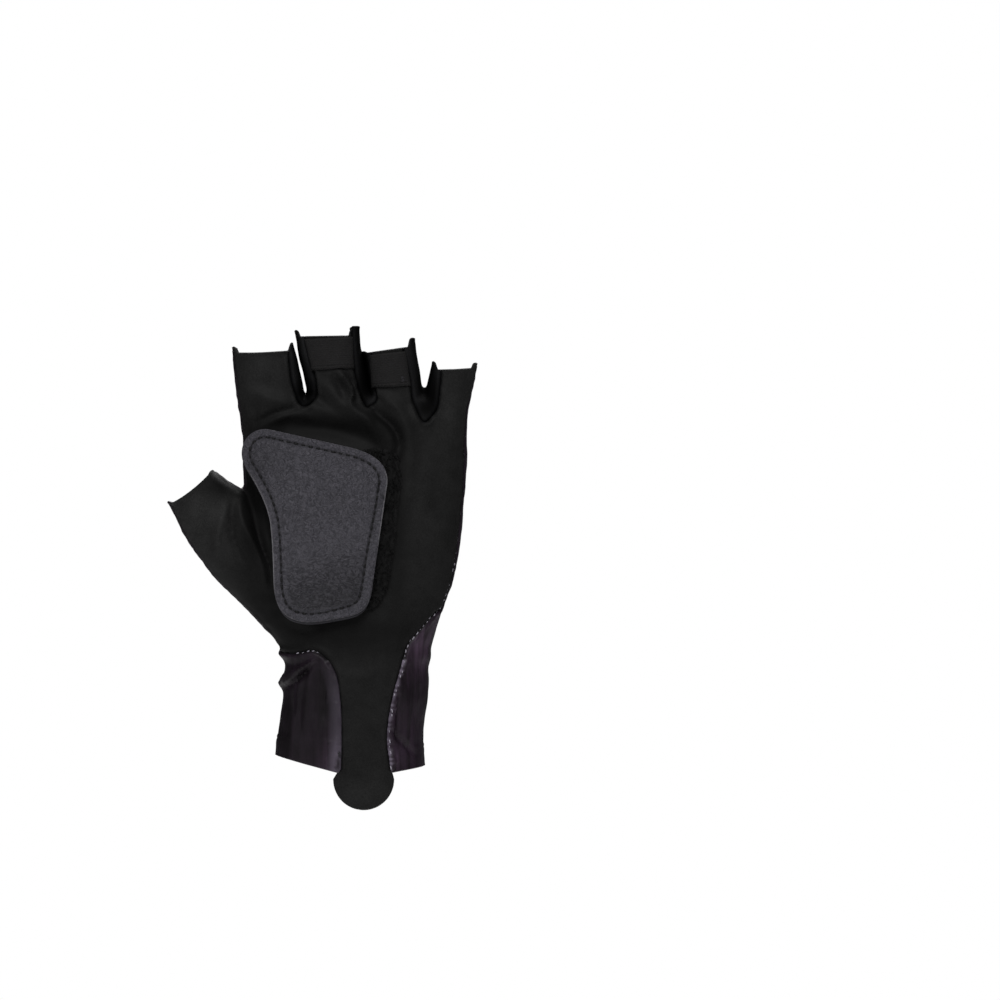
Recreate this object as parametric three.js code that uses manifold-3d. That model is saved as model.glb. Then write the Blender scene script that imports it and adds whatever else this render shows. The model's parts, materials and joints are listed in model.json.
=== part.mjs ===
// Fingerless speed skating glove for the left hand, hollow, in the shape it has when it is worn.
// Millimetres. X runs from the thumb side to the little-finger side, +Z points to the fingertips, the palm faces -Y.
// The origin is the middle of the cuff's mouth, where the wrist goes in.
import * as THREE from "three";
import Module from "manifold-3d";
import { mergeVertices } from "three/addons/utils/BufferGeometryUtils.js";

const wasm = await Module();
wasm.setup();

// Cloth and clearances.
const WALL = 1.2; // every cloth wall
const GAP = 0.3; // between neighbouring pieces
const HEM_HEIGHT = 10; // the cuff's folded hem
const HEM_EXTRA = 0.7; // how much thicker the fold makes the cuff
const TAB_THICK = 1.0; // elastic pull tabs
const PATCH_THICK = 1.5; // loop fleece
const BACKING_THICK = 1.2; // hook backing of the pad, in front of the fleece
const BACKING_SINK = 1.4; // how deep the backing reaches into the hollows beside the fleece
const BACKING_INSET = 0.4; // the backing is cut a little smaller than the cover
const BACKING_DROP = 1.3; // and sits lower, so that its edge shows below the cover
const FLANGE_THICK = 1.8; // sewn edge of the pad
const PAD_RISE = 1.7; // foam middle above the flange
const PAD_BACK = -17.9; // depth of the plane where the backing lies on the fleece, at the pad's middle
const PAD_MIDDLE = 94; // height of the pad's middle
const PAD_TILT = 2.0; // degrees, so that the pad lies along the palm, nearer the hand at its top
const STITCH_INSET = 3.2; // pad's stitch line, in from its edge
const DEEP = 60; // reach of every cutter in front of and behind the glove

// Resolution of the walls.
const HAND_SIDES = 36;
const FINGER_SIDES = 20;
const THUMB_SIDES = 24;
const ROUNDNESS = { hand: 2.5, finger: 2.25, thumb: 2.2 }; // exponent of the sections, 2 is an ellipse

// Wrist and hand, base to fingers: outline seen from the front, and reach towards the palm and the back.
const HAND = [
  { z: -24, left: -28.0, right: 30.2, palm: 20.0, back: 18.5 },
  { z: -4, left: -29.3, right: 29.5, palm: 20.0, back: 18.5 },
  { z: 8, left: -28.8, right: 29.3, palm: 19.7, back: 18.2 },
  { z: 17, left: -27.8, right: 30.1, palm: 19.4, back: 18.0 },
  { z: 24, left: -26.8, right: 31.2, palm: 19.2, back: 18.0 },
  { z: 28, left: -26.4, right: 31.5, palm: 19.1, back: 18.0 },
  { z: 31, left: -26.2, right: 31.5, palm: 19.0, back: 18.0 },
  { z: 34, left: -25.9, right: 31.2, palm: 18.9, back: 18.0 },
  { z: 37, left: -25.6, right: 31.0, palm: 18.8, back: 18.0 },
  { z: 40, left: -25.6, right: 31.2, palm: 18.7, back: 18.0 },
  { z: 43, left: -25.7, right: 31.8, palm: 18.6, back: 18.0 },
  { z: 46, left: -26.0, right: 32.8, palm: 18.5, back: 17.8 },
  { z: 51, left: -26.6, right: 34.2, palm: 17.8, back: 17.4 },
  { z: 59, left: -29.2, right: 36.8, palm: 17.0, back: 16.8 },
  { z: 71, left: -34.2, right: 41.0, palm: 16.5, back: 16.0 },
  { z: 85, left: -38.7, right: 43.9, palm: 16.0, back: 15.6 },
  { z: 101, left: -41.6, right: 45.6, palm: 15.5, back: 15.4 },
  { z: 117, left: -42.8, right: 46.8, palm: 14.8, back: 15.0 },
  { z: 130, left: -42.9, right: 46.9, palm: 13.8, back: 13.8 },
  { z: 139, left: -43.3, right: 47.0, palm: 12.0, back: 12.0 },
  { z: 144, left: -42.6, right: 46.5, palm: 9.0, back: 9.0 },
  { z: 146.6, left: -39.0, right: 42.0, palm: 4.0, back: 4.0 },
];

// Bunched cloth at the wrist: each roll runs round the cuff from its start angle, where 180 is the thumb side,
// 270 the palm side and 360 the little-finger side. It climbs by rise over its length.
const ROLLS = [
  { z: 42.4, from: 110, to: 240, rise: 0, height: 3.0, width: 2.3 },
  { z: 22.0, from: 112, to: 256, rise: 19, height: 2.3, width: 2.2 },
  { z: 38.0, from: 20, to: 150, rise: 3, height: 1.4, width: 2.8 },
  { z: 42.0, from: 310, to: 420, rise: -3, height: 0.9, width: 2.6 },
];

// Finger and thumb tubes, base to tip. a is the outline's thumb-side point, b its little-finger-side point, seen from
// the front as [x, z]. The last row lies beyond the opening, which the rims below cut.
const FINGERS = {
  index: [
    { a: [-37.0, 112], b: [-14.0, 112], palm: 11.0, back: 11.0, lean: 0 },
    { a: [-42.1, 126], b: [-14.8, 126], palm: 12.2, back: 12.2, lean: 0 },
    { a: [-44.3, 140], b: [-17.2, 140], palm: 11.8, back: 11.6, lean: -0.3 },
    { a: [-46.0, 152], b: [-19.4, 152], palm: 10.8, back: 10.6, lean: -0.7 },
    { a: [-46.8, 163], b: [-21.9, 163], palm: 10.3, back: 10.2, lean: -1.2 },
    { a: [-48.0, 174], b: [-23.6, 174], palm: 10.2, back: 10.0, lean: -1.6 },
  ],
  middle: [
    { a: [-13.0, 112], b: [7.0, 112], palm: 10.5, back: 11.0, lean: 0.2 },
    { a: [-14.2, 126], b: [8.8, 126], palm: 12.2, back: 12.4, lean: 0.2 },
    { a: [-15.8, 140], b: [8.6, 140], palm: 11.8, back: 11.8, lean: 0.2 },
    { a: [-17.6, 152], b: [6.3, 152], palm: 11.0, back: 10.8, lean: 0 },
    { a: [-19.9, 163], b: [4.5, 163], palm: 10.5, back: 10.5, lean: -0.2 },
    { a: [-21.9, 175], b: [3.6, 175], palm: 10.2, back: 10.2, lean: -0.5 },
    { a: [-22.9, 183], b: [3.0, 183], palm: 10.0, back: 10.0, lean: -0.8 },
  ],
  ring: [
    { a: [9.0, 110], b: [27.0, 110], palm: 10.2, back: 10.5, lean: 0 },
    { a: [10.0, 126], b: [28.8, 126], palm: 11.8, back: 12.0, lean: 0 },
    { a: [9.3, 140], b: [29.0, 140], palm: 11.2, back: 11.4, lean: -0.1 },
    { a: [7.0, 152], b: [28.3, 152], palm: 10.4, back: 10.3, lean: -0.5 },
    { a: [5.2, 163], b: [26.8, 163], palm: 10.0, back: 9.8, lean: -0.9 },
    { a: [4.0, 177], b: [24.8, 177], palm: 9.8, back: 9.6, lean: -1.4 },
  ],
  little: [
    { a: [28.0, 106], b: [43.0, 106], palm: 9.4, back: 9.6, lean: 0 },
    { a: [28.6, 122], b: [45.9, 122], palm: 10.8, back: 10.8, lean: -0.2 },
    { a: [29.0, 136], b: [47.1, 136], palm: 10.2, back: 10.0, lean: -0.5 },
    { a: [30.6, 147], b: [48.7, 147], palm: 9.4, back: 9.2, lean: -1.0 },
    { a: [32.6, 156], b: [50.5, 156], palm: 9.0, back: 8.8, lean: -1.6 },
    { a: [34.6, 167], b: [52.7, 167], palm: 8.8, back: 8.6, lean: -2.3 },
  ],
};

const THUMB = [
  { a: [-23.6, 34.0], b: [6.0, 40.0], palm: 15.6, back: 15.0, lean: 0 },
  { a: [-28.4, 46.0], b: [1.0, 55.0], palm: 16.4, back: 16.0, lean: 0 },
  { a: [-35.2, 54.0], b: [-8.4, 70.0], palm: 16.4, back: 15.4, lean: -0.2 },
  { a: [-43.8, 62.8], b: [-20.4, 84.8], palm: 15.4, back: 14.2, lean: -0.6 },
  { a: [-52.2, 71.2], b: [-31.4, 97.0], palm: 14.6, back: 13.0, lean: -1.4 },
  { a: [-59.8, 80.4], b: [-41.4, 106.4], palm: 13.0, back: 11.8, lean: -2.2 },
  { a: [-66.2, 90.4], b: [-49.1, 111.6], palm: 11.8, back: 11.0, lean: -3.0 },
  { a: [-72.2, 102.2], b: [-55.7, 116.5], palm: 11.0, back: 10.6, lean: -4.0 },
  { a: [-78.0, 113.0], b: [-62.2, 122.2], palm: 10.8, back: 10.4, lean: -5.0 },
];

// Openings: the rim runs from point a to point b as [x, z], dips in its middle, and its seam ends stand up as ears.
const RIMS = {
  index: { a: [-47.0, 162.8], b: [-21.5, 164.2], dip: 0.9, earA: 2.0, earB: 3.4 },
  middle: { a: [-21.8, 169.4], b: [4.2, 170.2], dip: 0.4, earA: 2.4, earB: 4.2 },
  ring: { a: [4.9, 162.6], b: [26.2, 165.6], dip: 0.2, earA: 0.6, earB: 3.0 },
  little: { a: [32.9, 156.6], b: [51.2, 157.0], dip: 0.8, earA: 2.8, earB: 1.6 },
  thumb: { a: [-72.9, 101.6], b: [-54.9, 115.6], dip: 1.5, earA: 1.6, earB: 0.4 },
};

// Finger crotches: the strips' seam lines with the palm and the back, as [x, z], from the left rim round to the right.
const CROTCHES = {
  index_middle: [[-23.6, 184], [-23.2, 168], [-22.4, 158], [-20.8, 148.8], [-18.0, 142.0], [-14.4, 145.6],
    [-13.0, 152], [-14.4, 160], [-17.4, 170], [-18.6, 184]],
  middle_ring: [[0.4, 184], [1.2, 170], [2.8, 156], [5.4, 147], [8.3, 141.6], [10.6, 145.6], [9.2, 151], [8.6, 162],
    [8.2, 184]],
  ring_little: [[20.8, 184], [21.8, 164], [23.8, 152.5], [26.2, 141.5], [30.3, 135.2], [34.4, 139.4], [36.2, 149],
    [36.6, 158], [36.8, 184]],
};

// Where the palm panel is sewn to the cuff, seen from the front, and its tongue with the round pull tab.
const TONGUE = { x: 6.0, z: -7.6, radius: 12.0, neckLeft: -3.4, neckRight: 16.8, neckZ: -3.4 };
const THUMB_SIDE_SEAM = [[-3.2, 8], [-3.7, 24], [-5.4, 34], [-8.8, 40.4], [-13.0, 43.4], [-22.4, 42.6], [-34, 43.6],
  [-90, 43.6]];
const LITTLE_SIDE_SEAM = [[60, 74], [43, 64.5], [35, 59], [28, 51.2], [24, 46.4], [20.8, 36], [18.4, 27.6],
  [16.2, 16.4], [15.6, 10]];
const HEM_LINE = [[-60, 3.2], [-29.5, 1.8], [-4.4, -4.8], [17, -4.8], [29.5, -2.6], [60, 0]];

// Depth of the side seam between palm and back, across the glove from the thumb to the little finger, as [x, y].
const SIDE_SEAM = [[-95, -10.5], [-72, -8.5], [-46, -5.0], [-30, -4.6], [46, -2.6], [70, -3.0]];

// Elastic tabs on the finger fronts and the fleece patch under the pad, as [x, z] outlines.
const TABS = {
  middle: [[-14.0, 156.2], [1.2, 157.2], [0.2, 168.4], [-16.4, 168.0]],
  ring: [[9.4, 149.8], [23.2, 150.4], [21.4, 163.2], [9.0, 161.6]],
};
const PATCH = [[-34, 104], [-38, 114], [-38, 122], [-33, 128], [2, 122.5], [14, 124.6], [18.6, 121.5], [19.4, 114],
  [17, 97], [16.2, 82], [13.6, 68], [10.6, 61.4], [0, 60], [-22, 58.5], [-27.5, 66], [-28, 88]];

const MATERIALS = {
  suede: new THREE.MeshStandardMaterial({ color: 0x202020, roughness: 0.9, metalness: 0 }),
  stretch: new THREE.MeshStandardMaterial({ color: 0x2b242c, roughness: 0.7, metalness: 0 }),
  gusset: new THREE.MeshStandardMaterial({ color: 0x1f1d24, roughness: 0.75, metalness: 0 }),
  elastic: new THREE.MeshStandardMaterial({ color: 0x222121, roughness: 0.85, metalness: 0 }),
  fleece: new THREE.MeshStandardMaterial({ color: 0x121212, roughness: 1, metalness: 0 }),
  leather: new THREE.MeshStandardMaterial({ color: 0x3d3c41, roughness: 0.6, metalness: 0 }),
};

// A closed three.js geometry as a solid that can be joined and cut.
function solid(geometry) {
  const bare = new THREE.BufferGeometry().setAttribute("position", geometry.getAttribute("position"));
  bare.setIndex(geometry.getIndex());
  const merged = mergeVertices(bare, 1e-4);
  return new wasm.Manifold(
    new wasm.Mesh({
      numProp: 3,
      vertProperties: merged.getAttribute("position").array,
      triVerts: new Uint32Array(merged.getIndex().array),
    }),
  );
}

// A solid as a named mesh with its own material.
function piece(name, made, material) {
  const { vertProperties, triVerts } = mainBody(made).getMesh();
  const geometry = new THREE.BufferGeometry();
  geometry.setAttribute("position", new THREE.BufferAttribute(vertProperties, 3));
  geometry.setIndex(new THREE.BufferAttribute(triVerts, 1));
  geometry.computeVertexNormals();
  const mesh = new THREE.Mesh(geometry, material.clone());
  mesh.name = name;
  return mesh;
}

// The main body of a cut piece, without the crumbs that a cut can leave.
function mainBody(made) {
  return made.decompose().reduce((largest, body) => (body.volume() > largest.volume() ? body : largest));
}

// An [x, z] outline as a solid block between two depths.
function block(outline, near = -DEEP, far = DEEP) {
  const points = outline.map(([x, z]) => new THREE.Vector2(x, z));
  if (THREE.ShapeUtils.isClockWise(points)) points.reverse();
  const geometry = new THREE.ExtrudeGeometry(new THREE.Shape(points), { depth: far - near, bevelEnabled: false });
  return solid(geometry.rotateX(Math.PI / 2).translate(0, far, 0));
}

// An outline as a layer of the pad, which lies tilted on the palm, between two depths at the pad's middle.
function padLayer(outline, near, far) {
  const upright = block(outline, near - PAD_BACK, far - PAD_BACK).getMesh();
  const geometry = new THREE.BufferGeometry();
  geometry.setAttribute("position", new THREE.BufferAttribute(upright.vertProperties, 3));
  geometry.setIndex(new THREE.BufferAttribute(upright.triVerts, 1));
  geometry.translate(0, 0, -PAD_MIDDLE).rotateX(-THREE.MathUtils.degToRad(PAD_TILT));
  return solid(geometry.translate(0, PAD_BACK, PAD_MIDDLE));
}

// An outline moved outwards by a distance, corner by corner; a negative distance moves it inwards.
function offsetOutline(outline, distance) {
  const points = outline.map(([x, z]) => new THREE.Vector2(x, z));
  const turn = THREE.ShapeUtils.isClockWise(points) ? -1 : 1;
  return points.map((point, i) => {
    const before = points.at(i - 1);
    const after = points[(i + 1) % points.length];
    const inward = point.clone().sub(before).normalize();
    const outward = after.clone().sub(point).normalize();
    const bisector = new THREE.Vector2(inward.y + outward.y, -inward.x - outward.x).normalize();
    const reach = distance / Math.max(0.5, bisector.dot(new THREE.Vector2(inward.y, -inward.x)));
    return [point.x + turn * bisector.x * reach, point.y + turn * bisector.y * reach];
  });
}

// How far the bunched rolls lift the cloth at an angle round the wrist and a height.
function rollHeight(degrees, z) {
  return ROLLS.reduce((sum, roll) => {
    const share = ((degrees - roll.from + 720) % 360) / (roll.to - roll.from);
    if (share >= 1) return sum;
    const distance = (z - roll.z - roll.rise * share) / roll.width;
    return sum + roll.height * Math.sin(Math.PI * share) ** 0.7 * Math.exp(-distance * distance);
  }, 0);
}

// A closed tube through rows of sections. grow moves its wall out; relief adds folds at an angle and a height.
function tube(rows, { grow = 0, sides, roundness, relief = () => 0 }) {
  const power = 2 / roundness;
  const positions = [];
  const centres = [];
  for (const { a, b, palm, back, lean } of rows) {
    const left = new THREE.Vector3(a[0], lean, a[1]);
    const right = new THREE.Vector3(b[0], lean, b[1]);
    const centre = left.clone().add(right).multiplyScalar(0.5);
    const across = right.clone().sub(left).normalize();
    const half = left.distanceTo(right) / 2;
    centres.push(centre);
    for (let j = 0; j < sides; j++) {
      const angle = (2 * Math.PI * j) / sides;
      const lift = grow + relief(THREE.MathUtils.radToDeg(angle), centre.z);
      const cos = Math.cos(angle);
      const sin = Math.sin(angle);
      const out = (half + lift) * Math.sign(cos) * Math.abs(cos) ** power;
      const deep = ((sin < 0 ? palm : back) + lift) * Math.sign(sin) * Math.abs(sin) ** power;
      positions.push(centre.x + across.x * out, centre.y + deep, centre.z + across.z * out);
    }
  }
  const rings = rows.length - 1;
  const index = [];
  for (let i = 0; i < rings; i++) {
    for (let j = 0; j < sides; j++) {
      const next = (j + 1) % sides;
      const [p, q, r, s] = [i * sides + j, i * sides + next, (i + 1) * sides + next, (i + 1) * sides + j];
      index.push(p, q, r, p, r, s);
    }
  }
  const base = positions.length / 3;
  positions.push(...centres[0], ...centres.at(-1));
  for (let j = 0; j < sides; j++) {
    const next = (j + 1) % sides;
    index.push(base, next, j);
    index.push(base + 1, rings * sides + j, rings * sides + next);
  }
  const geometry = new THREE.BufferGeometry();
  geometry.setAttribute("position", new THREE.Float32BufferAttribute(positions, 3));
  geometry.setIndex(index);
  return solid(geometry);
}

// Everything beyond an opening's rim, as a block that cuts the tube off.
function beyondRim({ a, b, dip, earA, earB }) {
  const start = new THREE.Vector2(...a);
  const along = new THREE.Vector2(...b).sub(start);
  const out = new THREE.Vector2(-along.y, along.x).normalize();
  const rim = [];
  const steps = 16;
  for (let i = 0; i <= steps; i++) {
    const share = i / steps;
    const height = -dip * 4 * share * (1 - share) + earA * (1 - share) ** 9 + earB * share ** 9;
    const point = start.clone().addScaledVector(along, share).addScaledVector(out, height);
    rim.push([point.x, point.y]);
  }
  const far = 30;
  const margin = 0.25;
  const right = start.clone().addScaledVector(along, 1 + margin);
  const left = start.clone().addScaledVector(along, -margin);
  const lift = (point, height) => [point.x + out.x * height, point.y + out.y * height];
  return block([lift(left, earA), ...rim, lift(right, earB), lift(right, far), lift(left, far)]);
}

// The whole glove as one closed form. The openings' rims are cut only where trimmed says so.
function form(grow, trimmed) {
  const handRows = HAND.map(({ z, left, right, palm, back }, i) => {
    const height = i === HAND.length - 1 ? z + grow : z;
    return { a: [left, height], b: [right, height], palm, back, lean: 0 };
  });
  const hand = tube(handRows, { grow, sides: HAND_SIDES, roundness: ROUNDNESS.hand, relief: rollHeight });
  const thumb = tube(THUMB, { grow, sides: THUMB_SIDES, roundness: ROUNDNESS.thumb });
  const fingers = Object.entries(FINGERS).map(([name, rows]) => {
    const finger = tube(rows, { grow, sides: FINGER_SIDES, roundness: ROUNDNESS.finger });
    return trimmed ? finger.subtract(beyondRim(RIMS[name])) : finger;
  });
  const thumbTube = trimmed ? thumb.subtract(beyondRim(RIMS.thumb)) : thumb;
  return fingers.reduce((sum, finger) => sum.add(finger), hand.add(thumbTube));
}

// In front of the side seam's curtain, moved back by a distance.
function frontOfSeam(distance) {
  const edge = SIDE_SEAM.map(([x, y]) => new THREE.Vector2(x, y + distance));
  const outline = [...edge, new THREE.Vector2(SIDE_SEAM.at(-1)[0], -DEEP), new THREE.Vector2(SIDE_SEAM[0][0], -DEEP)];
  if (THREE.ShapeUtils.isClockWise(outline)) outline.reverse();
  const height = 240;
  const geometry = new THREE.ExtrudeGeometry(new THREE.Shape(outline), { depth: height, bevelEnabled: false });
  return solid(geometry.translate(0, 0, -40));
}

// Outline of the palm panel seen from the front: open to the sides, where the side seam bounds it, tongue below.
function palmOutline() {
  const { x, z, radius, neckLeft, neckRight, neckZ } = TONGUE;
  const arc = [];
  const steps = 18;
  for (let i = 0; i <= steps; i++) {
    const angle = Math.PI * (1 + i / steps);
    arc.push([x + radius * Math.cos(angle), z + radius * Math.sin(angle)]);
  }
  return [...arc, [neckRight, neckZ], ...LITTLE_SIDE_SEAM.toReversed(), [60, 190], [-90, 190],
    ...THUMB_SIDE_SEAM.toReversed(), [neckLeft, neckZ]];
}

// The pad's outline: straight top, waisted thumb side and four rounded corners.
function padOutline(inset) {
  const shape = new THREE.Shape();
  shape.moveTo(-31.0, 132.0);
  shape.lineTo(-0.5, 125.2);
  shape.bezierCurveTo(8.6, 123.2, 16.0, 119.2, 15.4, 110.5);
  shape.lineTo(9.3, 68.0);
  shape.bezierCurveTo(8.4, 61.5, 5.5, 58.2, -1.0, 57.2);
  shape.bezierCurveTo(-6.0, 56.2, -12.0, 54.9, -16.5, 55.1);
  shape.bezierCurveTo(-25.5, 55.6, -29.4, 60.2, -30.0, 70.0);
  shape.bezierCurveTo(-30.4, 78.0, -30.4, 86.0, -31.4, 94.5);
  shape.bezierCurveTo(-33.0, 104.0, -38.0, 111.5, -41.6, 117.6);
  shape.bezierCurveTo(-45.4, 125.0, -40.0, 134.0, -31.0, 132.0);
  const outline = shape.getPoints(7).slice(0, -1).map((point) => [point.x, point.y]);
  return inset ? offsetOutline(outline, -inset) : outline;
}

// Walls of the whole glove, before they are cut into panels.
const inside = form(-WALL, false);
const walls = form(0, true).subtract(inside);
const hemBand = block([...HEM_LINE, ...HEM_LINE.toReversed().map(([x, z]) => [x, z + HEM_HEIGHT])]);
const aboveHem = block([...HEM_LINE, [60, 200], [-60, 200], [-100, 200], [-100, 3.2]]);
const hem = form(HEM_EXTRA, false).subtract(inside).intersect(hemBand);

const crotchBlocks = Object.entries(CROTCHES).map(([name, outline]) => ({
  name,
  strip: block(outline),
  cleared: block(offsetOutline(outline, GAP)),
}));
const notched = (panel) => crotchBlocks.reduce((rest, { cleared }) => rest.subtract(cleared), panel);

const palmPanel = notched(walls.intersect(block(palmOutline()).intersect(frontOfSeam(0))));
const palmCleared = block(offsetOutline(palmOutline(), GAP)).intersect(frontOfSeam(GAP));
const backPanel = notched(walls.add(hem).intersect(aboveHem).subtract(palmCleared));

const glove = new THREE.Group();
glove.add(piece("palm_panel", palmPanel, MATERIALS.suede));
glove.add(piece("back_panel", backPanel, MATERIALS.stretch));
for (const { name, strip } of crotchBlocks) {
  glove.add(piece(`gusset_${name}`, walls.intersect(strip), MATERIALS.gusset));
}

// Sheets that lie on the cloth: a form between two offsets, cut to an outline on the palm side.
const clearForm = form(GAP, false);
function sheetOnPalm(outline, thickness) {
  return form(GAP + thickness, false).subtract(clearForm).intersect(block(outline, -DEEP, 0));
}
for (const [finger, outline] of Object.entries(TABS)) {
  glove.add(piece(`pull_tab_${finger}`, sheetOnPalm(outline, TAB_THICK), MATERIALS.elastic));
}
glove.add(piece("loop_patch", sheetOnPalm(PATCH, PATCH_THICK), MATERIALS.fleece));

// The pad: a flat hook backing that the patch carries, and a leather cover with a raised foam middle.
const overPatch = form(2 * GAP + PATCH_THICK, false);
const backingFront = PAD_BACK - BACKING_THICK;
const flangeFront = backingFront - GAP - FLANGE_THICK;
const backingOutline = padOutline(BACKING_INSET).map(([x, z]) => [x, z - BACKING_DROP]);
const backing = padLayer(backingOutline, backingFront, PAD_BACK + BACKING_SINK).subtract(overPatch);
glove.add(piece("pad_backing", backing, MATERIALS.fleece));
const flange = padLayer(padOutline(0), flangeFront, backingFront - GAP);
const middle = padLayer(padOutline(STITCH_INSET + 0.6), flangeFront - PAD_RISE, flangeFront + 0.5);
glove.add(piece("pad_cover", flange.add(middle), MATERIALS.leather));

export default glove;
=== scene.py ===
"""Looks of a fingerless speed skating glove for the left hand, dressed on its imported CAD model.

The cloth is modelled in millimetres and brought to metres when a piece is finished. X runs from the thumb side to
the little-finger side, Z points to the fingertips and the palm faces -Y.
"""

import json
import logging
import math
from dataclasses import dataclass, field
from enum import Enum
from typing import Any, Callable, Iterable, Sequence

import bpy
import numpy as np
from mathutils import Matrix, Vector
from mathutils.bvhtree import BVHTree
from mathutils.kdtree import KDTree

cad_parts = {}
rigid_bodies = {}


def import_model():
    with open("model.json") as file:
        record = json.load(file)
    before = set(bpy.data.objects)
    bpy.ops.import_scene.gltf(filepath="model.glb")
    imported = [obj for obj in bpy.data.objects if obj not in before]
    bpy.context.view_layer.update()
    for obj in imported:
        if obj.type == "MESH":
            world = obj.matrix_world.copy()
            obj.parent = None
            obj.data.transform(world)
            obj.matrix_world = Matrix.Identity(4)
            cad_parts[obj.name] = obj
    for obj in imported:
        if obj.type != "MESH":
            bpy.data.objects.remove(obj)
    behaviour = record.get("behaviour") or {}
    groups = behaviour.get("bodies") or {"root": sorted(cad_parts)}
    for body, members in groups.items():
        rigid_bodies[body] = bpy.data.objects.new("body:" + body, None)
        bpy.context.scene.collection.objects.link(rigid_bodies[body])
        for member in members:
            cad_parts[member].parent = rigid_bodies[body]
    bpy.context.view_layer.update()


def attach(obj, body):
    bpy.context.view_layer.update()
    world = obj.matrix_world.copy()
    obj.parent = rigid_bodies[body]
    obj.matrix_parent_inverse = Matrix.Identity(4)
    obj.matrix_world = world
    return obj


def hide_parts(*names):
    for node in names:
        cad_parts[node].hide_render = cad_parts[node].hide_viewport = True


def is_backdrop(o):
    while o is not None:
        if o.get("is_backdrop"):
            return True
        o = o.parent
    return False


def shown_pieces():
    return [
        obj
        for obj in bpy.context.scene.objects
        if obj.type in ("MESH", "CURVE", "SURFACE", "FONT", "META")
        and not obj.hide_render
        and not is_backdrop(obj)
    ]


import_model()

LOG = logging.getLogger("glove")
MM = 0.001
VOXEL = 0.9  # mesh size of the cloth
DEEP = 60.0  # reach of every cutter in front of and behind the glove
CLOTH = 1.1  # thickness of palm and back
SEED = 7

Point = tuple[float, float]
Line = Sequence[Point]


class Move(Enum):
    """Which of the spread fingers a tube is."""

    BY_LINE = 0  # the hand, whose parts follow their fingers
    STILL = 1
    LEFT = 2
    RIGHT = 3


class Side(Enum):
    """Which face of the glove something lies on."""

    PALM = -1
    BACK = 1


# Small tools.


def select_only(*objects: bpy.types.Object) -> None:
    """Selects these objects and nothing else, and makes the first one active."""
    if bpy.context.object and bpy.context.object.mode != "OBJECT":
        bpy.ops.object.mode_set(mode="OBJECT")
    bpy.ops.object.select_all(action="DESELECT")
    for obj in objects:
        obj.select_set(True)
    bpy.context.view_layer.objects.active = objects[0]


def edit_all(obj: bpy.types.Object) -> None:
    """Opens an object in edit mode with everything selected."""
    select_only(obj)
    bpy.ops.object.mode_set(mode="EDIT")
    bpy.ops.mesh.select_mode(type="VERT")
    bpy.ops.mesh.select_all(action="SELECT")


def select_faces(obj: bpy.types.Object, chosen: np.ndarray) -> None:
    """Opens an object in edit mode with just these faces selected."""
    edit_all(obj)
    bpy.ops.mesh.select_mode(type="FACE")
    bpy.ops.mesh.select_all(action="DESELECT")
    leave_edit()
    obj.data.polygons.foreach_set("select", chosen)
    bpy.ops.object.mode_set(mode="EDIT")


def leave_edit() -> None:
    """Returns to object mode."""
    bpy.ops.object.mode_set(mode="OBJECT")


def coords(obj: bpy.types.Object) -> np.ndarray:
    """Vertex places of a mesh, one row each."""
    flat = np.empty(len(obj.data.vertices) * 3, np.float32)
    obj.data.vertices.foreach_get("co", flat)
    return flat.reshape(-1, 3).astype(float)


def set_coords(obj: bpy.types.Object, places: np.ndarray) -> None:
    """Moves the vertices of a mesh to new places."""
    obj.data.vertices.foreach_set("co", places.astype(np.float32).ravel())
    obj.data.update()


def normals(obj: bpy.types.Object) -> np.ndarray:
    """Vertex normals of a mesh, one row each."""
    flat = np.empty(len(obj.data.vertices) * 3, np.float32)
    obj.data.vertex_normals.foreach_get("vector", flat)
    return flat.reshape(-1, 3).astype(float)


def apply_modifier(obj: bpy.types.Object, kind: str, **settings: Any) -> None:
    """Adds a modifier and applies it.

    Args:
        obj: the mesh it works on.
        kind: the modifier's type.
        **settings: its properties.
    """
    select_only(obj)
    modifier = obj.modifiers.new(kind.lower(), kind)
    for key, value in settings.items():
        setattr(modifier, key, value)
    bpy.ops.object.modifier_apply(modifier=modifier.name)


def store(obj: bpy.types.Object, name: str, values: np.ndarray) -> None:
    """Keeps one number for each vertex for the material to read."""
    obj.data.attributes.new(name, "FLOAT", "POINT").data.foreach_set("value", values.astype(np.float32))


def read_points(obj: bpy.types.Object, name: str) -> np.ndarray:
    """Reads the numbers that store keeps."""
    values = np.empty(len(obj.data.vertices), np.float32)
    obj.data.attributes[name].data.foreach_get("value", values)
    return values


def copy_of(obj: bpy.types.Object, name: str) -> bpy.types.Object:
    """A copy of an object with its own mesh."""
    made = obj.copy()
    made.data = obj.data.copy()
    made.name = name
    bpy.context.scene.collection.objects.link(made)
    return made


def remove(*objects: bpy.types.Object) -> None:
    """Deletes helper objects."""
    for obj in objects:
        bpy.data.objects.remove(obj, do_unlink=True)


def smooth_step(values: np.ndarray, low: float, high: float) -> np.ndarray:
    """0 below low, 1 above high and an even rise between them."""
    share = np.clip((values - low) / (high - low), 0.0, 1.0)
    return share * share * (3.0 - 2.0 * share)


def hermite(knots: np.ndarray, values: np.ndarray, at: np.ndarray) -> np.ndarray:
    """A smooth curve through rows of values, read at other places.

    Args:
        knots: where the values stand, rising.
        values: one row of numbers for each knot.
        at: the places to read.

    Returns:
        One row for each place.
    """
    slopes = np.gradient(values, knots, axis=0)
    i = np.clip(np.searchsorted(knots, at, side="right") - 1, 0, len(knots) - 2)
    width = (knots[i + 1] - knots[i])[:, None]
    t = (at - knots[i])[:, None] / width
    rise = 3 * t**2 - 2 * t**3
    leave = t**3 - 2 * t**2 + t
    arrive = t**3 - t**2
    return (1 - rise) * values[i] + rise * values[i + 1] + width * (leave * slopes[i] + arrive * slopes[i + 1])


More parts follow.
